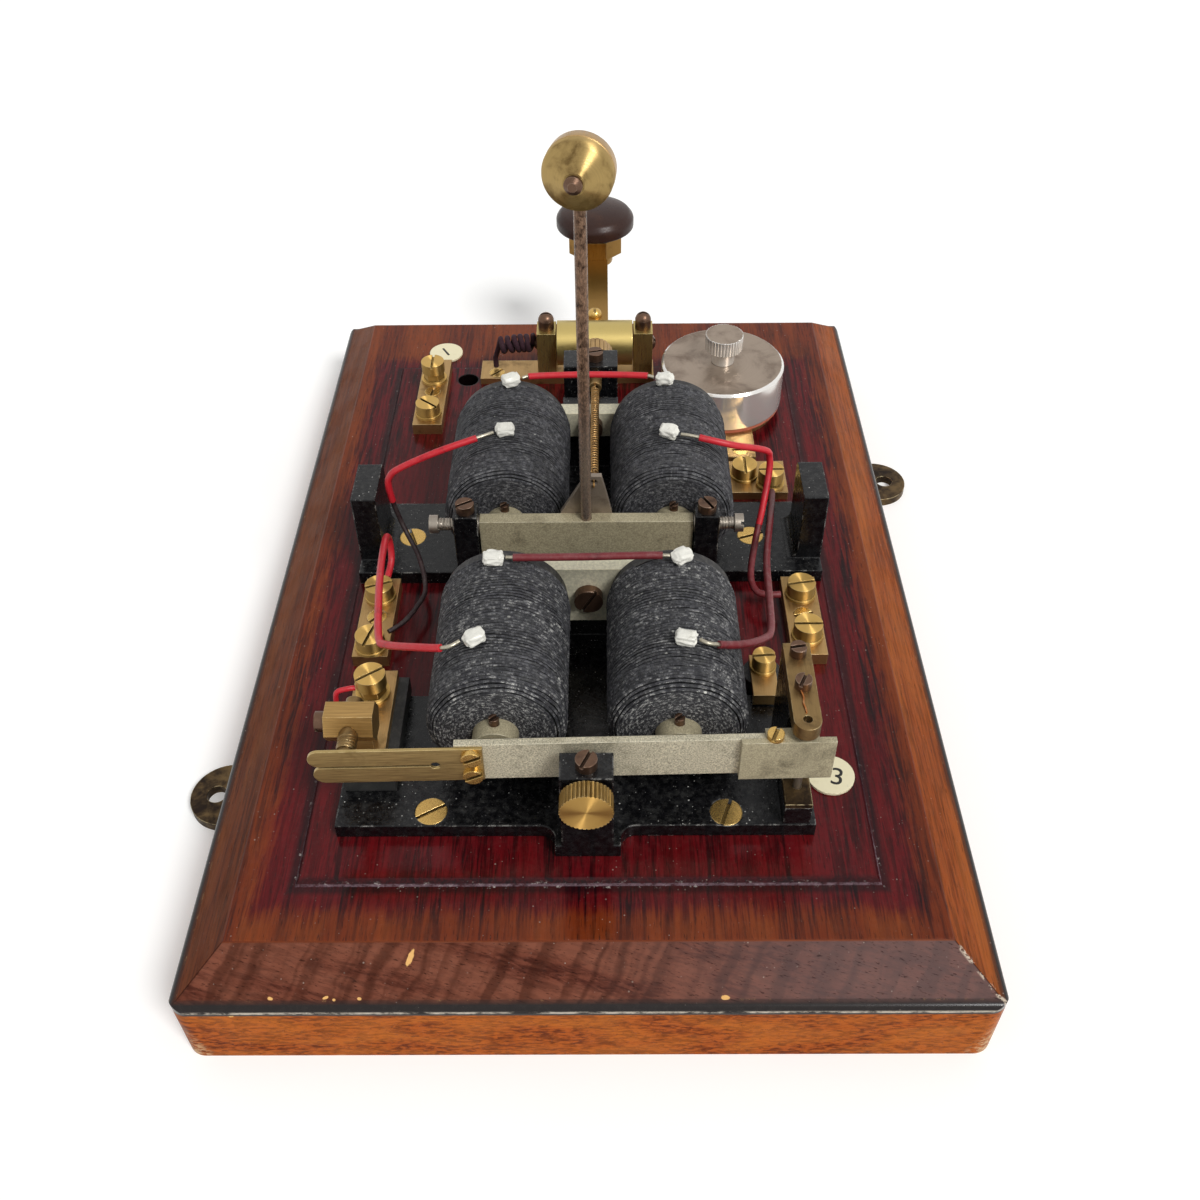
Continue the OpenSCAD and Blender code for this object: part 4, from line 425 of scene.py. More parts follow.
def make_worn_edges():
    """Edges: a mask of rubbed places, a normal that rounds them, and a mask of slots and corners for painted
    shade.
    """
    tree, given, result = new_group(
        "Worn edges", {"Radius": ("Float", 0.0006), "Breakup": ("Float", 0.25), "Cover": ("Float", 0.5)},
        {"Mask": "Float", "Normal": "Vector", "Hollow shade": "Float"})
    rounded = value_of(tree, "ShaderNodeBevel", "Normal", {"Radius": given["Radius"]}, samples=6)
    edge = rounded.vector("DOT_PRODUCT", facing(tree), "Value").span(0.998, 0.9)
    start = 0.72 - given["Cover"] * 0.4
    rubbed = place(tree).cloud(given["Breakup"], 5.0, 0.65).span(start, start + 0.08)
    shelter = open_air(tree, 0.0016, 6)
    feed(result, {"Mask": edge * shelter.span(0.8, 0.95) * rubbed, "Normal": rounded,
                  "Hollow shade": shelter.span(0.72, 0.3)})


def make_dust():
    """Pale specks and a thin bloom that gather on what faces up."""
    tree, given, result = new_group(
        "Dust", {"Speck size": ("Float", 1.0), "Specks": ("Float", 0.5), "Bloom": ("Float", 0.2)},
        {"Mask": "Float"})
    where = place(tree)
    inputs = {"Vector": where, "Scale": 1.0 / given["Speck size"], "Randomness": 1.0}
    cells = add(tree, "ShaderNodeTexVoronoi", inputs).outputs
    lot = Field(tree, cells["Color"]).parts()
    chosen = lot[0].span(1.0 - given["Specks"], 1.0)
    size = lot[1] ** 2.0 * 0.26 + 0.06
    speck = Field(tree, cells["Distance"]).span(size, size * 0.5)
    patches = where.cloud(0.09, 3.0).span(0.4, 0.62, 0.25, 1.0)
    haze = where.cloud(0.6, 6.0, 0.7).span(0.42, 0.8) * given["Bloom"]
    upward = facing(tree).parts()[2].span(-0.3, 0.7, 0.15, 1.0)
    feed(result, {"Mask": (speck * chosen * patches).most(haze) * upward})


def make_brush_lines():
    """Fine lines left by a file, a brush or a die, long in the direction with the small stretch."""
    tree, given, result = new_group(
        "Brush lines", {"Stretch": ("Vector", (4.0, 4.0, 4.0))}, {"Value": "Float"})
    lines = place(tree).vector("MULTIPLY", given["Stretch"])
    feed(result, {"Value": lines.cloud(1.0, 4.0, 0.7)})


def make_tarnish():
    """A clean colour and a tarnished one, mixed in cloudy patches."""
    tree, given, result = new_group(
        "Tarnish",
        {"Clean": ("Color", (0.5, 0.5, 0.5, 1.0)), "Tarnished": ("Color", (0.1, 0.1, 0.1, 1.0)),
         "Patch size": ("Float", 6.0), "Amount": ("Float", 0.5)},
        {"Color": "Color", "Mask": "Float"})
    patches = place(tree).cloud(1.0 / given["Patch size"], 6.0, 0.62, 0.4)
    start = 0.8 - given["Amount"] * 0.6
    cover = patches.span(start, start + 0.3)
    feed(result, {"Color": mix(tree, cover, given["Clean"], given["Tarnished"]), "Mask": cover})


def make_wood_grain():
    """Streaks, ribbons and pores of mahogany, long in the vector's Y direction."""
    tree, given, result = new_group(
        "Wood grain", {"Vector": ("Vector", (0.0, 0.0, 0.0))},
        {"Streak": "Float", "Ribbon": "Float", "Pore": "Float"})
    where = given["Vector"]
    streaks = where.stretched((0.95, 0.055, 0.95)).cloud(1.0, 5.0, 0.6, 0.5)
    ribbons = where.stretched((0.09, 0.012, 0.09)).cloud(1.0, 3.0, 0.5, 0.8)
    pores = where.stretched((2.6, 0.22, 2.6)).cloud(1.0, 3.0, 0.6)
    feed(result, {"Streak": streaks.span(0.36, 0.62), "Ribbon": ribbons.span(0.32, 0.68),
                  "Pore": pores.span(0.58, 0.7)})


# Materials

def new_material(name):
    """A material with its node tree and its Principled shader."""
    material = bpy.data.materials.new("finish_" + name)
    material.use_nodes = True
    return material, material.node_tree, material.node_tree.nodes["Principled BSDF"]


def worn_edges(tree, radius, breakup, cover):
    """The masks and the normal of edges rounded by a radius in metres."""
    return use_group(tree, "Worn edges", {"Radius": radius, "Breakup": breakup, "Cover": cover})


def dust_mask(tree, size, specks, bloom):
    """Where dust lies."""
    return use_group(tree, "Dust", {"Speck size": size, "Specks": specks, "Bloom": bloom})["Mask"]


def tarnish(tree, clean, tarnished, patch, amount):
    """A colour with tarnish in patches of a size in millimetres, and their mask."""
    values = {"Clean": paint(clean), "Tarnished": paint(tarnished), "Patch size": patch, "Amount": amount}
    return use_group(tree, "Tarnish", values)


def board_regions(tree):
    """Where a point of the base lies: its place, how far past the panel, and on which moulding."""
    where = place(tree)
    x, y, z = where.parts()
    past_side = abs(x) - PANEL_SIDE
    past_end = abs(y + PANEL_FORWARD) - PANEL_END
    from_side = BASE_SIDE - abs(x)
    from_end = BASE_END - abs(y)
    mitre = from_side - from_end
    on_top = z.span(*TOP_Z)
    across = sums(tree, "GREATER_THAN", mitre, 0.0) * (1.0 - on_top)
    crossed = value_of(tree, "ShaderNodeCombineXYZ", 0, {"X": y + x * 0.35, "Y": x, "Z": z})
    return SimpleNamespace(
        where=where, x=x, y=y, z=z, uneven=where.cloud(0.12, 4.0), past_panel=past_side.most(past_end),
        past_varnish=(past_side - VARNISH_MARGIN).most(past_end), corner=from_side + from_end,
        mitre=abs(mitre), on_top=on_top, on_bevel=z.span(*BEVEL_Z), on_edge=z.span(*EDGE_Z),
        across=across, along=mix_vector(across, where, crossed))


def board_tones(tree, wood, board, grain):
    """Colours of the panel, the field, the bevels, the bead and the upright edge."""

    def grained(base, dark, light):
        """One region's colour with its streaks and ribbons."""
        return mix(tree, grain["Streak"], dark, base).tinted(grain["Ribbon"] * 0.5, light)

    panel = grained(wood.panel, "#180407", "#660d10")
    field = grained(wood.field, "#47190b", "#8c441a")
    edge = grained(wood.edge, "#5f280e", "#c0702c")
    front = grained(wood.bevel, "#45221a", "#8a5643")
    lean = board.x - board.y * 0.6 + board.uneven * 5.0
    front = front.tinted(lean.bands(0.2, 2.0).span(0.4, 0.68, 0.0, 0.6), "#32170f")
    # Painted reflection: a grey sheen laid over the front bevel, stronger towards its right end
    front = front.tinted(board.x.span(-10.0, 70.0, 0.0, 0.55), "#6b5b5a")
    # The side bevels in a lighter, more orange wood than the front one: partly another piece of wood, partly
    # painted light
    side = grained("#8c441f", "#5c2911", "#a9602c")
    # Painted shade: the left side bevel darker than the right one
    side = side.tinted(board.x.span(20.0, -20.0, 0.0, 0.5), "#3f2a25")
    ragged = board.past_varnish + board.uneven * 6.0 + grain["Streak"] * 2.5
    top = mix(tree, ragged.span(15.4, 8.6), field, panel)
    broken = board.along.stretched((0.3, 0.05, 0.3)).cloud(1.0, 5.0, 0.7)
    # Painted highlight: a pale line along the bead, broken up by noise
    line = abs(board.z + broken * 0.8 - BEAD_HIGHLIGHT_Z).span(0.5, 0.15)
    bead = mix(tree, line * broken.span(0.4, 0.6), wood.bead, "#b5ab9c")
    colour = mix(tree, board.on_bevel, bead, mix(tree, board.across, side, front))
    return colour.tinted(board.on_top, top).tinted(board.on_edge, edge)


def board_wear(board, grain, worn, colour):
    """The base's colour with dark mitres, flakes, scuffs, pores, chips and painted shade in the wire hole."""
    where, y, z = board.where, board.y, board.z
    colour = colour.tinted(board.mitre.span(0.35, 0.1) * ((1.0 - board.on_top) * 0.7), "#24120d")
    flaked = board.x.span(84.0, 90.0) * y.span(-134.0, -140.0) * board.mitre.span(1.1, 0.3)
    flaked = flaked * where.cloud(0.55, 4.0, 0.7).span(0.5, 0.56) * z.span(16.0, 21.0) * z.span(31.6, 30.6)
    colour = colour.tinted(flaked, "#c9b8a4")
    scuffs = where.stretched((0.4, 0.4, 0.9)).cloud(1.0, 6.0, 0.75).span(0.46, 0.56)
    low_corner = (board.corner + z * 0.35).span(9.0, 5.0) * board.on_edge
    colour = colour.tinted(low_corner * scuffs, "#c7a27a")
    colour = colour.tinted(grain["Pore"] * 0.65, "#160706")
    step = abs(board.past_panel - 0.3).span(2.6, 0.8)
    colour = colour.tinted(step * board.on_top * 0.7, "#12060b")
    # Noise for the pale crust at the step's foot and for breaking up the painted highlight along the step
    crust_and_highlight = where.stretched((0.45, 0.45, 1.0)).cloud(1.0, 6.0, 0.8)
    foot = abs(board.past_panel).span(0.9, 0.3) * board.on_top
    colour = colour.tinted(foot * (crust_and_highlight.span(0.57, 0.66) * y.span(-90.0, -118.0, 0.2, 1.0)), "#a9a29d")
    # Painted highlight: a thin pale line along the top of the panel's step, stronger at the front
    step_highlight = abs(board.past_panel + 0.15).span(0.3, 0.1) * board.on_top * crust_and_highlight.span(0.36, 0.56, 0.05, 0.6)
    colour = colour.tinted(step_highlight * y.span(-95.0, -118.0, 0.25, 1.0), "#7d6770")
    colour = colour.tinted(worn["Mask"] * z.span(24.5, 23.0), "#c79a63")
    for spot, sizes, turn in CHIPS:
        chip = where.vector("SUBTRACT", spot).stretched((1, 1, 1), (0, 0, turn))
        chip = chip.stretched([1 / size for size in sizes])
        reach = chip.vector("LENGTH", result="Value") + where.cloud(1.2) * 0.8
        colour = colour.tinted(reach.span(1.3, 1.1), "#dfae6c")
    # Painted shade: the inside of the wire hole made nearly black
    return colour.tinted(from_axis(where, WIRE_HOLE, ALONG_Z)[1].span(4.4, 3.8), "#0b0505")


def mahogany(wood):
    """Varnished mahogany: dark on the panel and round it, faded outside, with a black bead and chips."""
    material, tree, shader = new_material("mahogany")
    board = board_regions(tree)
    grain = use_group(tree, "Wood grain", {"Vector": board.along})
    worn = worn_edges(tree, 0.0011, 0.22, 0.4)
    colour = board_wear(board, grain, worn, board_tones(tree, wood, board, grain))
    on_bead = (1.0 - board.on_bevel) * (1.0 - board.on_edge)
    waves = grain["Pore"] * -1.0 + grain["Streak"] * 0.25
    feed(shader, {
        "Base Color": colour.tinted(dust_mask(tree, 0.9, 0.24, 0.03) * 0.6, "#b4a79a"),
        "Roughness": board.uneven.span(0.35, 0.7, 0.28, 0.44),
        "Specular IOR Level": 0.02,
        "Coat Weight": (on_bead * 0.6).most(board.on_top * 0.3),
        "Coat Roughness": 0.18,
        "Normal": relief(waves, 0.00006, 0.5, worn["Normal"]),
    })
    return material


def black_japan(metal):
    """Black stoved finish on a casting, chipped along its edges, where the pale tint is partly a painted
    highlight, and dusty.
    """
    material, tree, shader = new_material("black_japan")
    worn = worn_edges(tree, 0.0007, 0.3, 0.5)
    dust = dust_mask(tree, 0.9, 0.85, 0.06)
    skin = place(tree).cloud(0.5, 5.0, 0.6)
    colour = mix(tree, skin.span(0.4, 0.75), metal.japan, "#121214")
    feed(shader, {
        # Pale edges: partly chips in the japan, partly a painted highlight
        "Base Color": colour.tinted(worn["Mask"] * 0.75, "#8d8b86").tinted(dust * 0.9, "#c9c8c2"),
        "Roughness": skin.span(0.3, 0.7, 0.14, 0.34),
        "Specular IOR Level": 0.28,
        "Normal": relief(skin + dust * 0.4, 0.0002, 0.5, worn["Normal"]),
    })
    return material


def from_axis(where, middle, axis):
    """The way to a place from the axis through a middle, and its length."""
    across = [0.0 if part else 1.0 for part in axis]
    away = where.vector("SUBTRACT", middle).vector("MULTIPLY", across)
    return away, away.vector("LENGTH", result="Value")


def turned_grain(where, middles, axis):
    """Direction across the turning marks, from the nearest of several middles, and the distance from it."""
    nearest, least = from_axis(where, middles[0], axis)
    for middle in middles[1:]:
        away, reach = from_axis(where, middle, axis)
        nearest = mix_vector(sums(where.tree, "LESS_THAN", reach, least), nearest, away)
        least = reach.least(least)
    inputs = {0: axis, 1: nearest}
    round_axis = value_of(where.tree, "ShaderNodeVectorMath", 0, inputs, operation="CROSS_PRODUCT")
    return round_axis.vector("CROSS_PRODUCT", facing(where.tree)).vector("NORMALIZE"), least


def metal_finish(name, clean, tarnished, roughness, stretch=(3.0, 3.0, 3.0), amount=0.5, patch=7.0, lines=0.2,
                 depth=0.00002, metallic=0.88, specular=0.5, edge="#e6d3a4", rubbed=0.4, slots="#120d08",
                 turning=None, side_dark=0.0):
    """A metal: brushed or turned, tarnished in patches, painted dark in its slots as shade and bright along
    its edges.
    """
    material, tree, shader = new_material(name)
    patches = tarnish(tree, clean, tarnished, patch, amount)
    worn = worn_edges(tree, 0.0003, 0.4, 0.7)
    if turning:
        middles, axis = turning
        direction, reach = turned_grain(place(tree), middles, axis)
        marks = reach.bands(3.0, 2.0)
        feed(shader, {"Tangent": direction, "Anisotropic": 0.93})
    else:
        marks = use_group(tree, "Brush lines", {"Stretch": stretch})["Value"]
    shade = marks.span(0.3, 0.7, 1.0 - lines, 1.0)
    grey = value_of(tree, "ShaderNodeCombineColor", 0, {0: shade, 1: shade, 2: shade})
    colour = mix(tree, 1.0, patches["Color"], grey, "MULTIPLY")
    if turning:
        on_end = abs(facing(tree).vector("DOT_PRODUCT", axis, "Value"))
        colour = colour.tinted(on_end.span(0.6, 0.3, 0.0, side_dark), "#3a2c17")
    rough = marks.span(0.3, 0.7, roughness - 0.05, roughness + 0.07)
    feed(shader, {
        # Painted shade: slots and corners darkened by the hollow mask
        "Base Color": colour.tinted(worn["Mask"] * rubbed, edge).tinted(worn["Hollow shade"] * 0.9, slots),
        "Roughness": rough + patches["Mask"] * 0.1 + worn["Hollow shade"] * 0.4,
        "Metallic": metallic,
        "Specular IOR Level": specular,
        "Normal": relief(marks, depth, 0.5, worn["Normal"]),
    })
    return material


def retoned(material, mask, colour):
    """A finish with another colour laid over its own by a mask."""
    socket = material.node_tree.nodes["Principled BSDF"].inputs["Base Color"]
    put(socket, Field(material.node_tree, socket.links[0].from_socket).tinted(mask, colour))
    return material


def tone_before(material, axis, limit, soft, colour):
    """Mix another tone into what lies before a place along an axis, with a soft change, in millimetres."""
    along = place(material.node_tree).parts()["XYZ".index(axis)]
    return retoned(material, along.span(limit + soft, limit - soft, 0.0, 0.7), colour)


def nickel_plate(metal):
    """Polished nickel, browned and satin on what faces up, with painted shade in its hollows."""
    material, tree, shader = new_material("nickel")
    direction, reach = turned_grain(place(tree), [DRUM_MIDDLE], ALONG_Z)
    rings = reach.bands(1.6, 3.0)
    upward = facing(tree).parts()[2].span(0.7, 0.95)
    worn = worn_edges(tree, 0.0004, 0.3, 0.8)
    colour = mix(tree, upward, metal.nickel, tarnish(tree, "#9c8c7c", "#5e4b3c", 13.0, 0.6)["Color"])
    colour = colour.tinted(rings.span(0.35, 0.65, 0.0, 0.12), "#7d7167").tinted(worn["Mask"], "#f2efe8")
    feed(shader, {
        # Painted shade in the hollows
        "Base Color": colour.tinted(worn["Hollow shade"] * 0.6, "#2c2622"),
        "Roughness": upward.span(0.0, 1.0, 0.13, 0.38),
        "Tangent": direction,
        "Anisotropic": 0.5,
        "Metallic": 0.65,
        "Normal": relief(rings, 0.00001, 0.4, worn["Normal"]),
    })
    return material


def winding_cloth(small):
    """Black cloth-covered wire with pale dust that follows the turns, and painted shade between the turns."""
    material, tree, shader = new_material("winding_cloth")
    where = place(tree)
    x, y, z = where.parts()
    out = abs(x) - COIL_SIDE
    up = z - MAGNET_AXIS_Z
    radius = sums(tree, "SQRT", out * out + up * up)
    round_coil = sums(tree, "ARCTAN2", up, out)
    follow = value_of(tree, "ShaderNodeCombineXYZ", 0, {"X": round_coil * 7.0, "Y": y - radius, "Z": x * 0.3})
    fibre = where.cloud(2.4, 4.0, 0.75)
    turns = follow.stretched((1.4, 1.7, 1.0)).cloud(1.0, 6.0, 0.75)
    on_front = facing(tree).parts()[1].span(-0.3, -0.8, 0.0, 0.9)
    patchy = where.cloud(0.09, 4.0).span(0.44, 0.68, 0.02, 0.7) + on_front
    lint = turns.span(0.5, 0.64) * patchy.least(1.0) * fibre.span(0.36, 0.6) * y.span(-20.0, -40.0, 0.3, 1.0)
    colour = mix(tree, fibre.span(0.35, 0.7), small.cloth, "#2e2e33")
    colour = colour.tinted(turns.span(0.42, 0.66, 0.0, 0.65), "#646469").tinted(lint, "#bcbbb5")
    colour = colour.tinted(dust_mask(tree, 1.8, 0.25, 0.12), "#c4c3bb")
    feed(shader, {
        # Painted shade: near black between the turns, where the piece's own faces close in
        "Base Color": colour.tinted(open_air(tree, 0.0008, 8).span(0.9, 0.4, 0.0, 0.95), "#040405"),
        "Roughness": fibre.span(0.3, 0.7, 0.6, 0.85),
        "Specular IOR Level": 0.35,
        "Normal": relief(fibre, 0.00015, 0.7),
    })
    return material


def plain_finish(name, colour, worn_colour, roughness, patch=5.0, amount=0.5, edge="#8a8580", rubbed=0.2,
                 bloom=0.1, specks=0.2, depth=0.00005, specular=0.4, dust="#b8b2a8", grain=1.6):
    """A paint, rubber, fibre or bone finish with mottling, soil and rubbed edges."""
    material, tree, shader = new_material(name)
    worn = worn_edges(tree, 0.0004, 0.5, 0.5)
    tone = tarnish(tree, colour, worn_colour, patch, amount)["Color"].tinted(worn["Mask"] * rubbed, edge)
    lumps = place(tree).cloud(grain, 4.0, 0.65)
    feed(shader, {
        "Base Color": tone.tinted(dust_mask(tree, 1.4, specks, bloom) * 0.6, dust),
        "Roughness": lumps.span(0.3, 0.7, roughness - 0.06, roughness + 0.1),
        "Specular IOR Level": specular,
        "Normal": relief(lumps, depth, 0.6, worn["Normal"]),
    })
    return material


def brass_finishes(metal):
    """Every brass of the block bell."""
    upright = (4.0, 4.0, 0.15)
    lengthwise = (4.0, 0.12, 4.0)
    sawn = {"amount": 0.45, "stretch": (0.06, 5.0, 5.0), "lines": 0.45, "depth": 0.00006}
    lever = metal_finish("tapper_brass", "#a07a3c", "#6a481e", 0.32, stretch=upright)
    head = metal_finish("head_brass", "#b39862", "#664d2c", 0.42, amount=0.6, lines=0.12, depth=0.000004,
                        metallic=1.0, edge="#c9b078", turning=([HEAD_MIDDLE], ALONG_Y))
    return [
        metal_finish("aged_brass", metal.old_brass, metal.tarnish, 0.36, stretch=lengthwise),
        metal_finish("dark_brass", "#6d583a", "#2a2019", 0.45, amount=0.75, rubbed=0.6),
        metal_finish("bright_brass", metal.brass, "#6e5026", 0.28, amount=0.4),
        metal_finish("sawn_brass", "#b8935a", "#8a6836", 0.38, **sawn),
        metal_finish("blade_brass", "#c0a66e", "#8a7246", 0.36, **sawn),
        metal_finish("strap_brass", "#8a7048", "#52402a", 0.36, amount=0.55, stretch=lengthwise),
        metal_finish("pillar_brass", "#bda767", "#806a38", 0.3, amount=0.45, stretch=upright),
        metal_finish("stop_brass", "#c09a58", "#a8803f", 0.5, amount=0.4, lines=0.08, depth=0.000003,
                     metallic=1.0, turning=([STOP_MIDDLE], ALONG_Y), side_dark=0.6),
        metal_finish("terminal_brass", "#d8b268", "#94713a", 0.46, amount=0.4, lines=0.1, depth=0.000003,
                     metallic=1.0, turning=(TERMINALS, ALONG_Z), side_dark=0.35),
        tone_before(lever, "Y", 108.0, 1.0, "#cdbb78"),
        # Painted reflection: the head's lower part darker, as a reflection of the dark base below it
        tone_before(head, "Z", 167.0, 5.0, "#5f4a26"),
    ]


def iron_finishes(metal):
    """Every iron, steel and other metal of the block bell."""
    cast = {"stretch": (2.6, 2.6, 2.6), "metallic": 0.3, "depth": 0.00016, "slots": "#3b372c"}
    rod = metal_finish("rusty_steel", "#8c6e59", metal.rust, 0.25, amount=0.6, stretch=(2.6, 2.6, 0.9),
                       patch=1.5, lines=0.6, depth=0.00025, metallic=0.7, specular=0.15, rubbed=0.0)
    return [
        metal_finish("soft_iron", metal.iron, "#7d745c", 0.5, lines=0.5, patch=8.0, edge="#d6cfb8",
                     rubbed=0.5, **cast),
        metal_finish("bar_iron", "#e2d9bd", "#968d72", 0.46, lines=0.65, patch=9.0, edge="#e2dcc6",
                     rubbed=0.6, **cast),
        metal_finish("pale_iron", "#d8d2b8", "#8e866c", 0.5, amount=0.4, stretch=(1.2, 1.2, 1.2),
                     metallic=0.25, lines=0.3, depth=0.00012, slots="#3b372c"),
        metal_finish("bronzed_steel", metal.bronzed, "#2f231d", 0.36, edge="#b59c88", rubbed=0.6),
        metal_finish("gusset_steel", "#8d8072", "#5c4c3f", 0.42, metallic=0.6, edge="#b5a898"),
        metal_finish("steel", "#9a9185", "#5b5047", 0.34, amount=0.4, edge="#d8d0c4"),
        metal_finish("tinned_wire", "#b5ae9c", "#7b7462", 0.35),
        metal_finish("copper_wire", "#b5723f", "#6d4425", 0.35),
        metal_finish("spring_bronze", "#a07a48", "#5c4227", 0.32),
        tone_before(rod, "Z", 100.0, 18.0, "#94867a"),
        nickel_plate(metal),
    ]


def soft_finishes(small):
    """Every ebonite, insulation, fibre and bone finish."""
    clean = {"bloom": 0.0, "specks": 0.0}
    return [
        plain_finish("black_ebonite", "#161516", "#2b2927", 0.5, bloom=0.25),
        plain_finish("grey_slate", "#252524", "#3d3c39", 0.6, bloom=0.12),
        plain_finish("brown_ebonite", small.ebonite, "#40291f", 0.32, patch=11.0, rubbed=0.1, depth=0.00002,
                     specular=0.18, **clean),
        plain_finish("red_lead", small.red, "#8e1722", 0.4, bloom=0.12, specks=0.15, patch=4.0),
        plain_finish("maroon_lead", small.maroon, "#431216", 0.45, bloom=0.35, patch=4.0, dust="#a88f8c"),
        plain_finish("dark_lead", "#241315", "#3a2022", 0.5, bloom=0.2),
        plain_finish("white_bead", "#e4e2d8", "#a8a392", 0.26, amount=0.42, patch=2.2, specular=0.5, **clean),
        plain_finish("red_fibre", "#b8684e", "#8d4330", 0.62),
        plain_finish("ivory", "#ece3bf", "#cdbf92", 0.42, amount=0.4, bloom=0.0, specks=0.05, edge="#8c7d58",
                     rubbed=0.5),
        plain_finish("label_ink", "#1b1a16", "#39362c", 0.5, **clean),
        plain_finish("braid", "#2c0f1b", "#14080d", 0.85, bloom=0.04, specks=0.05, depth=0.0003, grain=2.2,
                     patch=1.6),
    ]


def make_materials(settings):
    """Every finish of the block bell by name."""
    made = [mahogany(settings.wood), black_japan(settings.metal), winding_cloth(settings.small),
            *brass_finishes(settings.metal), *iron_finishes(settings.metal), *soft_finishes(settings.small)]
    return {material.name: material for material in made}


# Finish of each solid that shows as it was built
NODE_FINISH = {
    "mahogany": ["base_board"],
    "black_japan": ["bed_casting"],
    "dark_brass": ["hanging_lugs", "lower_bearing"],
    "strap_brass": ["bearing_strap", "contact_screw"],
    "aged_brass": ["spring_adjuster", "contact_bracket", "relay_terminal_tongue", "terminal_strips",
                   "line_strip", "protector_plates", "tapper_plate", "protector_stud", "tapper_contact",
                   "adjuster_nut"],
    "bright_brass": ["countersunk_screws", "lever_screw", "relay_screws"],
    "terminal_brass": ["terminal_screws"],
    "sawn_brass": ["contact_block"],
    "blade_brass": ["contact_blade"],
    "tapper_brass": ["tapper_lever", "tapper_collar"],
    "pillar_brass": ["tapper_pillars"],
    "stop_brass": ["stop_screw"],
    "bar_iron": ["relay_armature"],
    "soft_iron": ["hinge_block", "bell_armature", "magnet_cores", "pole_shoes"],
    "pale_iron": ["magnet_yokes"],
    "steel": ["relay_pin", "trunnion_screws"],
    "gusset_steel": ["hammer_gusset"],
    "bronzed_steel": ["shoe_screws", "lock_screws", "tapper_pivots", "yoke_screws", "striking_pin"],
    "rusty_steel": ["hammer_rod"],
    "nickel": ["protector_drum", "protector_nut"],
    "winding_cloth": ["coil_windings"],
    "black_ebonite": ["coil_bobbins", "relay_terminal_bush"],
    "grey_slate": ["insulator_block"],
    "red_fibre": ["protector_washer"],
    "ivory": ["label_discs"],
}


# Modelling

def clear_selection():
    """Leave edit mode and deselect everything."""
    if bpy.context.object and bpy.context.object.mode != "OBJECT":
        bpy.ops.object.mode_set(mode="OBJECT")
    bpy.ops.object.select_all(action="DESELECT")


def choose(*objects):
    """Select these objects alone, the first one active."""
    clear_selection()
    for item in objects:
        item.select_set(True)
    bpy.context.view_layer.objects.active = objects[0]


def joined(objects, name):
    """Several meshes made into one piece."""
    choose(*objects)
    if len(objects) > 1:
        bpy.ops.object.join()
    piece = bpy.context.object
    piece.name = name
    return piece


def settle(piece):
    """Put a piece's place, turn and scale into its mesh."""
    choose(piece)
    bpy.ops.object.transform_apply(location=True, rotation=True, scale=True)


def close_up(piece):
    """Merge doubles and point the faces outwards."""
    choose(piece)
    bpy.ops.object.mode_set(mode="EDIT")
    bpy.ops.mesh.select_all(action="SELECT")
    bpy.ops.mesh.remove_doubles(threshold=0.000001)
    bpy.ops.mesh.normals_make_consistent(inside=False)
    bpy.ops.object.mode_set(mode="OBJECT")


def smooth_shading(piece, angle=40.0):
    """Shade a piece smooth except across sharp edges."""
    choose(piece)
    bpy.ops.object.shade_smooth_by_angle(angle=math.radians(angle))


def dress(piece, material, body, nodes=()):
    """Give a piece its finish, its body and the solids that it stands for."""
    piece.data.materials.clear()
    piece.data.materials.append(bpy.data.materials["finish_" + material])
    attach(piece, body)
    if nodes:
        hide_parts(*nodes)


def in_metres(*points):
    """Points in metres from points in millimetres."""
    return [Vector(point) * MM for point in points]


def smooth_route(points, steps=8):
    """Points in metres along a smooth curve through points in millimetres."""
    corners = in_metres(*points)
    route = []
    last = len(corners) - 1
    for i in range(last):
        a, b, c, d = corners[max(i - 1, 0)], corners[i], corners[i + 1], corners[min(i + 2, last)]
        for k in range(steps):
            t = k / steps
            bend = (2 * a - 5 * b + 4 * c - d) + t * (3 * (b - c) + d - a)
            route.append(b + 0.5 * t * ((c - a) + t * bend))
    route.append(corners[last])
    return route


def split_route(route, length):
    """A route cut in two at a length from its start."""
    gone = 0.0
    for i in range(1, len(route)):
        step = (route[i] - route[i - 1]).length
        if gone + step >= length:
            cut = route[i - 1].lerp(route[i], (length - gone) / step)
            return route[:i] + [cut], [cut] + route[i:]
        gone += step
    raise ValueError("the route is shorter than the length asked for")


def route_length(route):
    """Length along a route."""
    return sum((b - a).length for a, b in zip(route, route[1:]))


def tube(name, routes, diameter, sides=1):
    """A round wire along each route, as one mesh."""
    curve = bpy.data.curves.new(name, "CURVE")
    curve.dimensions = "3D"
    curve.bevel_depth = diameter / 2
    curve.bevel_resolution = sides
    curve.use_fill_caps = True
    for route in routes:
        spline = curve.splines.new("POLY")
        spline.points.add(len(route) - 1)
        for point, spot in zip(spline.points, route):
            point.co = (*spot, 1.0)
    piece = bpy.data.objects.new(name, curve)
    bpy.context.scene.collection.objects.link(piece)
    choose(piece)
    bpy.ops.object.convert(target="MESH")
    piece = bpy.context.object
    close_up(piece)
    smooth_shading(piece, 60.0)
    return piece


def helix(start, end, radius, turns, per_turn=16):
    """Points of a helix about the line between two points, in metres."""
    axis = (end - start).normalized()
    up = Vector((0, 0, 1)) if abs(axis.z) < 0.8 else Vector((1, 0, 0))
    u = (up - axis * up.dot(axis)).normalized()
    v = axis.cross(u)
    count = int(turns * per_turn)
    points = []
    for i in range(count + 1):
        a = 2 * math.pi * i / per_turn
        points.append(start.lerp(end, i / count) + radius * (math.cos(a) * u + math.sin(a) * v))
    return points


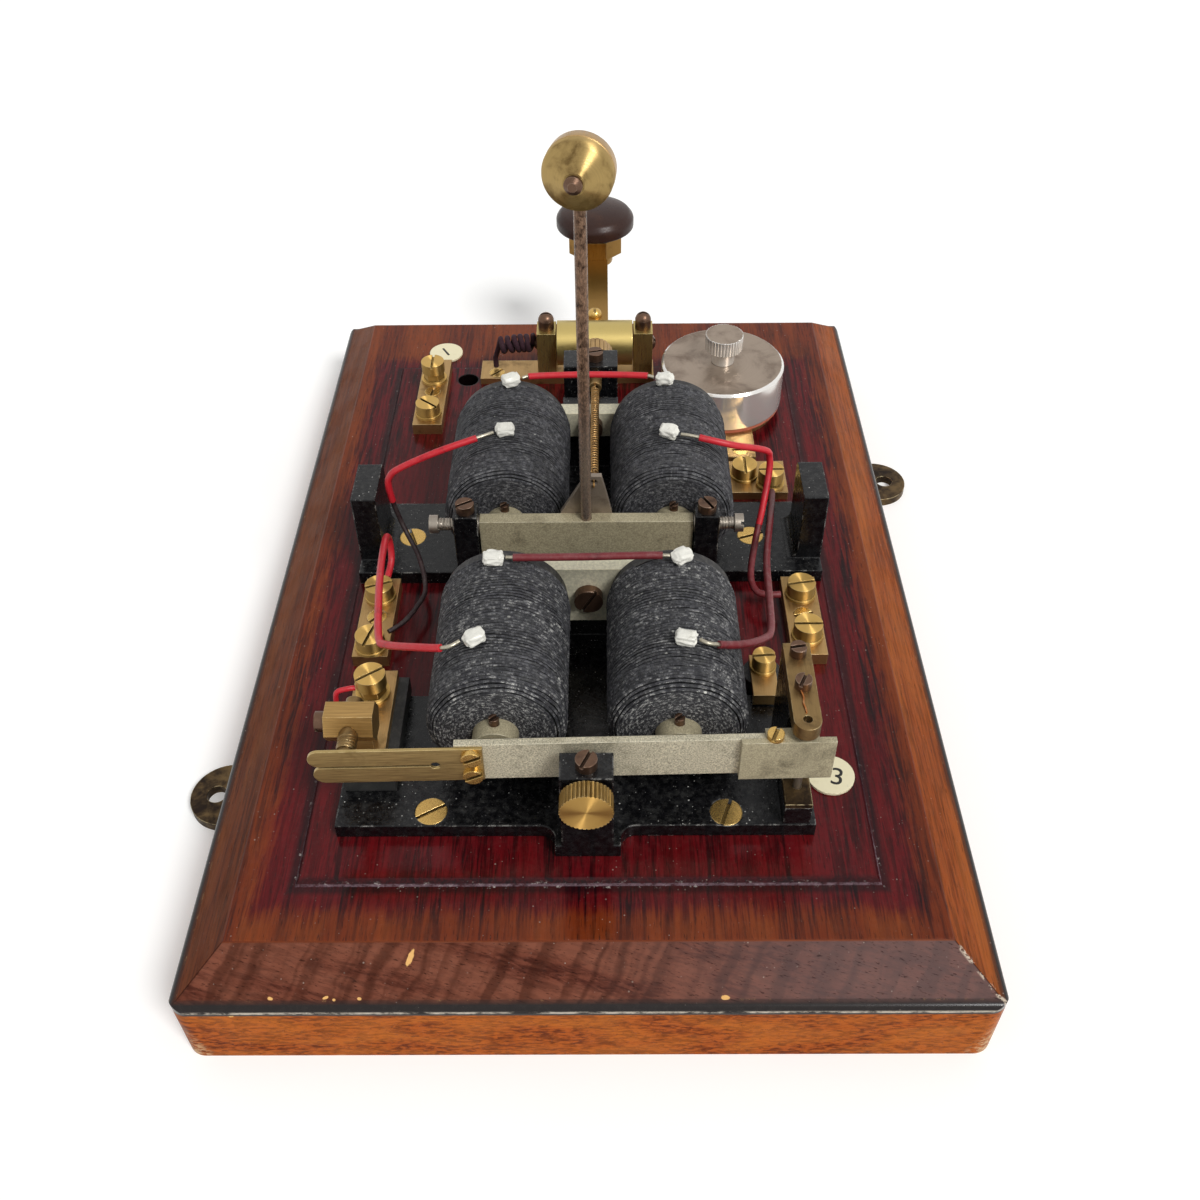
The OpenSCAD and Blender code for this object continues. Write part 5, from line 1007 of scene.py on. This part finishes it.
def turned(name, rings, sides=96):
    """A closed piece turned about the Z axis, from rings of radius and height in millimetres."""
    clear_selection()
    radius, height = rings[0]
    bpy.ops.mesh.primitive_circle_add(vertices=sides, radius=radius * MM, fill_type="NGON",
                                      location=(0, 0, height * MM))
    piece = bpy.context.object
    piece.name = name
    settle(piece)
    bpy.ops.object.mode_set(mode="EDIT")
    bpy.ops.mesh.select_mode(type="FACE")
    bpy.ops.mesh.select_all(action="SELECT")
    for wider, higher in rings[1:]:
        bpy.ops.mesh.extrude_region_move(TRANSFORM_OT_translate={"value": (0, 0, (higher - height) * MM)})
        bpy.ops.transform.resize(value=(wider / radius, wider / radius, 1.0))
        radius, height = wider, higher
    bpy.ops.object.mode_set(mode="OBJECT")
    close_up(piece)
    return piece


class BLOCKBELL_OT_stage(bpy.types.Operator):
    """Make the floor, the light and the camera"""

    bl_idname = "blockbell.stage"
    bl_label = "Stage"

    def execute(self, context):
        settings = context.scene.block_bell.stage
        clear_selection()
        bpy.ops.mesh.primitive_plane_add(size=6.0, location=(0, 0, 0))
        floor = context.object
        floor.name = "floor"
        floor.data.materials.append(self.floor_material(settings))
        self.light_world(context, settings)
        self.key_lamp(settings)
        self.camera(context)
        context.scene.view_settings.view_transform = "Standard"
        return {"FINISHED"}

    def floor_material(self, settings):
        """A pale floor, white to the eye, that keeps the shadow."""
        material, tree, shader = new_material("floor")
        tint = place(tree).cloud(0.01, 3.0).span(0.3, 0.7, 0.0, 0.3)
        feed(shader, {
            "Base Color": mix(tree, tint, settings.floor, "#efefed"),
            "Roughness": 0.9,
            "Specular IOR Level": 0.1,
            "Emission Color": (1, 1, 1, 1),
            "Emission Strength": seen_rays(tree) * 0.2,
        })
        return material

    def light_world(self, context, settings):
        """Soft light from above, between pale walls that look white."""
        world = bpy.data.worlds.new("studio")
        context.scene.world = world
        world.use_nodes = True
        tree = world.node_tree
        height = value_of(tree, "ShaderNodeTexCoord", "Generated").parts()[2]
        level = height.span(0.2, 0.55, settings.wall_level, settings.sky_level)
        feed(tree.nodes["Background"], {"Color": (1, 1, 1, 1), "Strength": level.most(seen_rays(tree))})

    def key_lamp(self, settings):
        """A broad lamp, far off in front to the right."""
        spot = Vector((0.9, -1.05, 1.5))
        turn = (-spot).to_track_quat("-Z", "Y").to_euler()
        bpy.ops.object.light_add(type="SUN", location=spot, rotation=turn)
        lamp = bpy.context.object
        lamp.name = "key_lamp"
        lamp.data.energy = settings.key_level
        lamp.data.angle = settings.key_spread

    def camera(self, context):
        """The camera at the photograph's place, for a square picture."""
        pitch, yaw, roll = (math.radians(angle) for angle in CAMERA_TURN)
        ahead = Vector((math.sin(yaw) * math.cos(pitch), math.cos(yaw) * math.cos(pitch), -math.sin(pitch)))
        right = Vector((math.cos(yaw), -math.sin(yaw), 0))
        up = right.cross(ahead)
        x_axis = math.cos(roll) * right + math.sin(roll) * up
        y_axis = math.cos(roll) * up - math.sin(roll) * right
        bpy.ops.object.camera_add()
        camera = context.object
        camera.name = "camera"
        turn = Matrix((x_axis, y_axis, -ahead)).transposed().to_4x4()
        camera.matrix_world = Matrix.Translation(Vector(CAMERA_SPOT) * MM) @ turn
        camera.data.sensor_width = SENSOR_MM
        camera.data.lens = SENSOR_MM * CAMERA_LENGTH / PICTURE
        camera.data.clip_start = 0.01
        context.scene.camera = camera


class BLOCKBELL_OT_finishes(bpy.types.Operator):
    """Make every finish and give the solids theirs"""

    bl_idname = "blockbell.finishes"
    bl_label = "Finishes"

    def execute(self, context):
        make_worn_edges()
        make_dust()
        make_brush_lines()
        make_tarnish()
        make_wood_grain()
        materials = make_materials(context.scene.block_bell)
        for finish, names in NODE_FINISH.items():
            for name in names:
                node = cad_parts[name]
                node.data.materials.clear()
                node.data.materials.append(materials["finish_" + finish])
        return {"FINISHED"}


class BLOCKBELL_OT_leads(bpy.types.Operator):
    """Lay the insulated leads with their bare tinned ends"""

    bl_idname = "blockbell.leads"
    bl_label = "Leads"

    def execute(self, context):
        small = context.scene.block_bell.small
        bare, red, maroon, dark = [], [], [], []
        laid = [
            (BELL_LEFT, red, dark, BELL_LEFT_BRIGHT),
            (RELAY_LEFT, red, None, None),
            (BELL_RIGHT, red, maroon, BELL_RIGHT_BRIGHT),
            (RELAY_RIGHT, maroon, None, None),
        ]
        for points, first, second, share in laid:
            start, rest = split_route(smooth_route(points), small.bare_l)
            bare.append(start)
            if second is not None:
                rest, end = split_route(rest, route_length(rest) * share)
                second.append(end)
            first.append(rest)
        pieces = [
            (tube("red_leads", red, small.lead_d, 3), "red_lead", ("coil_leads",)),
            (tube("maroon_leads", maroon, small.lead_d, 3), "maroon_lead", ("coil_leads",)),
            (tube("dark_lead", dark, small.lead_d * DARK_LEAD_SHARE, 3), "dark_lead", ("coil_leads",)),
            (tube("contact_lead_red", [smooth_route(CONTACT_LEAD)], CONTACT_LEAD_D * MM, 3), "red_lead",
             ("contact_lead",)),
        ]
        for name, points, finish in (("bell_bridge", BELL_BRIDGE, "red_lead"),
                                     ("relay_bridge", RELAY_BRIDGE, "maroon_lead")):
            start, rest = split_route(smooth_route(points), BRIDGE_BARE_L * MM)
            sleeve, end = split_route(rest, route_length(rest) - BRIDGE_BARE_L * MM)
            bare.extend([start, end])
            pieces.append((tube(name, [sleeve], small.lead_d, 3), finish, ("bridge_leads",)))
        for piece, finish, nodes in pieces:
            dress(piece, finish, "base", nodes)
        dress(tube("bare_ends", bare, small.bare_d, 2), "tinned_wire", "base")
        return {"FINISHED"}


class BLOCKBELL_OT_windings(bpy.types.Operator):
    """Wind the outer layer of each coil"""

    bl_idname = "blockbell.windings"
    bl_label = "Windings"

    def execute(self, context):
        small = context.scene.block_bell.small
        for name, coil in COILS.items():
            piece = tube(name, [self.route(coil, small)], small.thread_d, 1)
            dress(piece, "winding_cloth", "base", ("winding_turns",))
        return {"FINISHED"}

    def profile(self, radius, length, shoulder_r, shoulder_l):
        """Half section of a coil in millimetres, from the pole over the shoulder to the rear."""
        points = []
        flat = radius - shoulder_r - SHOE_R
        face_steps = 8
        for i in range(face_steps + 1):
            t = i / face_steps
            points.append((SHOE_R + flat * t, COIL_DISH * (1 - t) ** 2))
        shoulder_steps = 12
        for i in range(1, shoulder_steps + 1):
            a = math.radians(90 * i / shoulder_steps)
            t = i / shoulder_steps
            out = SHOULDER_SLOPE * t + SHOULDER_CURVE * math.sin(a)
            back = SHOULDER_SLOPE * t + SHOULDER_CURVE * (1 - math.cos(a))
            points.append((radius - shoulder_r + shoulder_r * out, shoulder_l * back))
        points.append((radius, length))
        return points

    def route(self, coil, small):
        """One long thread from the pole out over the front and along the coil, a little uneven."""
        side, front, length, radius, shoulder_r, shoulder_l = coil
        half = small.thread_d / MM / 2
        pitch = small.thread_pitch / MM
        section = self.profile(radius - half, length - 2 * half, shoulder_r, shoulder_l)
        ends = [0.0]
        for a, b in zip(section, section[1:]):
            ends.append(ends[-1] + math.dist(a, b))
        per_turn = 40
        count = int(ends[-1] / pitch * per_turn)
        points = []
        leg = 0
        for i in range(count):
            s = i * pitch / per_turn
            while s > ends[leg + 1]:
                leg += 1
            t = (s - ends[leg]) / (ends[leg + 1] - ends[leg])
            r = section[leg][0] + t * (section[leg + 1][0] - section[leg][0])
            along = section[leg][1] + t * (section[leg + 1][1] - section[leg][1])
            a = 2 * math.pi * i / per_turn
            spot = Vector((2.2 * math.cos(a) + side, 2.2 * math.sin(a), s * 0.35))
            r -= COIL_DENT * abs(noise.noise(spot)) + COIL_FINE_DENT * abs(noise.noise(spot * 3.1))
            along += COIL_STRAY * noise.noise(spot + Vector((7, 3, 5)))
            along = min(max(along, 0.0), length - 2 * half)
            x = side + r * math.sin(a)
            z = MAGNET_AXIS_Z + r * math.cos(a)
            points.append(Vector((x, front + half + along, z)) * MM)
        return points


class BLOCKBELL_OT_beads(bpy.types.Operator):
    """Shape the white beads that hold the coil ends"""

    bl_idname = "blockbell.beads"
    bl_label = "Beads"

    def execute(self, context):
        beads = [self.bead(i, foot, turn) for i, (foot, turn) in enumerate(BEADS)]
        piece = joined(beads, "bead_lumps")
        dress(piece, "white_bead", "base", ("lead_beads",))
        return {"FINISHED"}

    def bead(self, index, foot, turn):
        """One lump with a flat top and soft, uneven sides."""
        clear_selection()
        bpy.ops.mesh.primitive_cube_add(size=1.0, location=(0, 0, 0))
        piece = bpy.context.object
        piece.scale = [size * MM for size in BEAD_SIZE]
        settle(piece)
        bpy.ops.object.mode_set(mode="EDIT")
        bpy.ops.mesh.select_all(action="SELECT")
        bpy.ops.mesh.bevel(offset=BEAD_BEVEL * MM, segments=2, affect="EDGES")
        bpy.ops.mesh.select_all(action="SELECT")
        bpy.ops.mesh.subdivide(number_cuts=1)
        bpy.ops.transform.vertex_random(offset=BEAD_LUMPS * MM, uniform=0.6, normal=0.4, seed=index + 3)
        bpy.ops.object.mode_set(mode="OBJECT")
        smoother = piece.modifiers.new("Soft", "SUBSURF")
        smoother.levels = 2
        smoother.render_levels = 2
        bpy.ops.object.modifier_apply(modifier="Soft")
        lean = (6 * math.sin(index), 5 * math.cos(index), turn)
        piece.rotation_euler = [math.radians(angle) for angle in lean]
        piece.location = (foot[0] * MM, foot[1] * MM, (foot[2] + BEAD_LIFT) * MM)
        settle(piece)
        close_up(piece)
        bpy.ops.object.shade_smooth()
        return piece


class BLOCKBELL_OT_springs(bpy.types.Operator):
    """Wind the hammer's return spring and the tapper's spring"""

    bl_idname = "blockbell.springs"
    bl_label = "Springs"

    def execute(self, context):
        self.return_spring()
        self.tapper_spring()
        return {"FINISHED"}

    def return_spring(self):
        """A fine long spring, hooked in the gusset's eye and drawn into the adjuster."""
        radius, wire, count = RETURN_SPRING
        eye, post = in_metres((1.5, -20.4, 78.6), (1.5, 49.5, 64.2))
        axis = (post - eye).normalized()
        start = eye + axis * 5 * MM
        end = post - axis * 5 * MM
        hook = in_metres((1.5, -21.8, 77.4), (1.5, -21.9, 78.0), (1.5, -21.6, 78.5))
        turns = helix(start, end, radius * MM, count, 16)
        route = hook + [eye, eye + axis * 2.5 * MM] + turns + [post]
        piece = tube("return_spring_wire", [route], wire * MM, 1)
        piece.data.materials.append(bpy.data.materials["finish_spring_bronze"])
        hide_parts("return_spring")
        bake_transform(piece)

    def tapper_spring(self):
        """A short stout spring below the lever."""
        radius, wire, count = TAPPER_SPRING
        foot, head = in_metres((1.0, 115.6, 32.9), (1.0, 115.6, 46.7))
        turns = helix(foot, head, radius * MM, count, 20)
        piece = tube("tapper_spring_wire", [turns], wire * MM, 2)
        dress(piece, "spring_bronze", "base", ("tapper_spring",))
        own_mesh(piece)


class BLOCKBELL_OT_pigtail(bpy.types.Operator):
    """Coil the braided pigtail beside the tapper"""

    bl_idname = "blockbell.pigtail"
    bl_label = "Pigtail"

    def execute(self, context):
        radius, wire, count = PIGTAIL
        start, end = in_metres((-22.0, 99.6, 48.45), (-33.4, 99.6, 48.2))
        turns = helix(start, end, radius * MM, count, 24)
        uneven = [p + PIGTAIL_STRAY * MM * self.stray(p * 170) for p in turns]
        tail = in_metres((-35.0, 99.9, 46.4), (-36.4, 100.2, 42.0), (-36.4, 100.4, 37.9))
        piece = tube("pigtail_braid", [[start] + uneven + tail], wire * MM, 3)
        dress(piece, "braid", "base", ("pigtail",))
        return {"FINISHED"}

    def stray(self, spot):
        """A small uneven step that is the same on each run."""
        return Vector([noise.noise(spot + Vector(move)) for move in ((9, 2, 8), (3, 7, 1), (5, 4, 6))])


class BLOCKBELL_OT_threads(bpy.types.Operator):
    """Cut the screw threads that show and lay the strap's copper wire"""

    bl_idname = "blockbell.threads"
    bl_label = "Threads"

    def execute(self, context):
        contact = [self.thread((-60.2, -101.3, 58), (-60.2, -97.4, 58), 2.3)]
        dress(tube("contact_thread", contact, THREAD_RIDGE_D * MM, 0), "strap_brass", "base")
        trunnions = [self.thread((-39.5, -23.2, 65.2), (-43.5, -23.2, 65.2), 1.7),
                     self.thread((37.9, -23.2, 65.2), (41.9, -23.2, 65.2), 1.7)]
        dress(tube("trunnion_threads", trunnions, THREAD_RIDGE_D * MM, 0), "steel", "base")
        wire = tube("strap_wire", [smooth_route(STRAP_WIRE)], STRAP_WIRE_D * MM, 1)
        dress(wire, "copper_wire", "base")
        return {"FINISHED"}

    def thread(self, start, end, radius):
        """A helical ridge round a shank."""
        low, high = in_metres(start, end)
        return helix(low, high, radius * MM, (high - low).length / (THREAD_PITCH * MM), 20)


class BLOCKBELL_OT_turnings(bpy.types.Operator):
    """Turn the tapper's knob and the hammer's head"""

    bl_idname = "blockbell.turnings"
    bl_label = "Turnings"

    def execute(self, context):
        self.knob()
        self.head()
        return {"FINISHED"}

    def knob(self):
        """A flat ebonite knob with a soft rim."""
        rings = [(9.5, 0), (9.5, 1.5), (15.49, 2.5), (15.49, 6.4), (13.6, 8.8), (9.6, 10.2), (5.0, 10.85),
                 (1.6, 11.0)]
        piece = turned("knob_turning", rings)
        soften = piece.modifiers.new("Soft rim", "BEVEL")
        soften.width = 1.6 * MM
        soften.segments = 5
        soften.limit_method = "ANGLE"
        soften.angle_limit = math.radians(25)
        bpy.ops.object.modifier_apply(modifier="Soft rim")
        piece.location = Vector((1.0, 164.4, 59.65)) * MM
        settle(piece)
        smooth_shading(piece, 50.0)
        dress(piece, "brown_ebonite", "tapper", ("tapper_knob",))

    def head(self):
        """A brass head with a blunt cone in front, a fine groove and a domed back."""
        back = [(1.0, -7.5), (4.6, -6.9), (7.0, -5.4), (8.3, -3.2), (8.5, -0.6), (8.5, 0.0), (8.25, 0.2),
                (1.0, 0.3)]
        front = [(1.0, 0.1), (8.2, 0.1), (8.25, 0.4), (8.5, 0.6), (8.5, 2.0), (8.3, 2.9), (7.7, 3.6),
                 (2.9, 6.6), (2.7, 6.8)]
        for name, rings, finish in (("head_turning", front, "head_brass"), ("head_back", back, "aged_brass")):
            piece = turned(name, rings)
            piece.rotation_euler = (math.radians(90), 0, math.radians(-10))
            piece.location = Vector(HEAD_MIDDLE) * MM
            settle(piece)
            smooth_shading(piece, 35.0)
            dress(piece, finish, "hammer", ("hammer_head",))


class BLOCKBELL_OT_labels(bpy.types.Operator):
    """Mark the ivory labels with plain numerals"""

    bl_idname = "blockbell.labels"
    bl_label = "Labels"

    def execute(self, context):
        pieces = [self.numeral("3", (66.2, -92.6, 35.17), -14),
                  self.numeral("1", (-57.4, 117.6, 33.17), 30)]
        dress(joined(pieces, "label_numerals"), "label_ink", "base")
        return {"FINISHED"}

    def numeral(self, figure, spot, turn):
        """One thin figure that lies on a label."""
        clear_selection()
        bpy.ops.object.text_add()
        piece = bpy.context.object
        piece.data.body = figure
        piece.data.size = 8.0 * MM
        piece.data.align_x = "CENTER"
        piece.data.align_y = "CENTER"
        piece.data.extrude = 0.04 * MM
        bpy.ops.object.convert(target="MESH")
        piece = bpy.context.object
        piece.rotation_euler = (0, 0, math.radians(turn))
        piece.location = Vector(spot) * MM
        settle(piece)
        return piece


PIECES = (BLOCKBELL_OT_stage, BLOCKBELL_OT_finishes, BLOCKBELL_OT_leads, BLOCKBELL_OT_windings,
          BLOCKBELL_OT_beads, BLOCKBELL_OT_springs, BLOCKBELL_OT_pigtail, BLOCKBELL_OT_threads,
          BLOCKBELL_OT_turnings, BLOCKBELL_OT_labels)


class BLOCKBELL_PT_panel(bpy.types.Panel):
    """Sidebar panel that lists the pieces of the block bell"""

    bl_idname = "BLOCKBELL_PT_panel"
    bl_label = "Block bell"
    bl_space_type = "VIEW_3D"
    bl_region_type = "UI"
    bl_category = "Block bell"

    def draw(self, context):
        for piece in PIECES:
            self.layout.operator(piece.bl_idname)


CLASSES = (WoodSettings, MetalSettings, SmallPieceSettings, StageSettings, BlockBellSettings, *PIECES,
           BLOCKBELL_PT_panel)


def register():
    """Register the settings, the operators and the panel."""
    for item in CLASSES:
        bpy.utils.register_class(item)
    bpy.types.Scene.block_bell = bpy.props.PointerProperty(
        type=BlockBellSettings, name="Block bell", description="Settings of the block bell")


def unregister():
    """Take them out again."""
    del bpy.types.Scene.block_bell
    for item in reversed(CLASSES):
        bpy.utils.unregister_class(item)


def main():
    """Build every piece in order."""
    register()
    bpy.ops.blockbell.stage()
    bpy.ops.blockbell.finishes()
    bpy.ops.blockbell.leads()
    bpy.ops.blockbell.windings()
    bpy.ops.blockbell.beads()
    bpy.ops.blockbell.springs()
    bpy.ops.blockbell.pigtail()
    bpy.ops.blockbell.threads()
    bpy.ops.blockbell.turnings()
    bpy.ops.blockbell.labels()


if __name__ == "__main__":
    main()
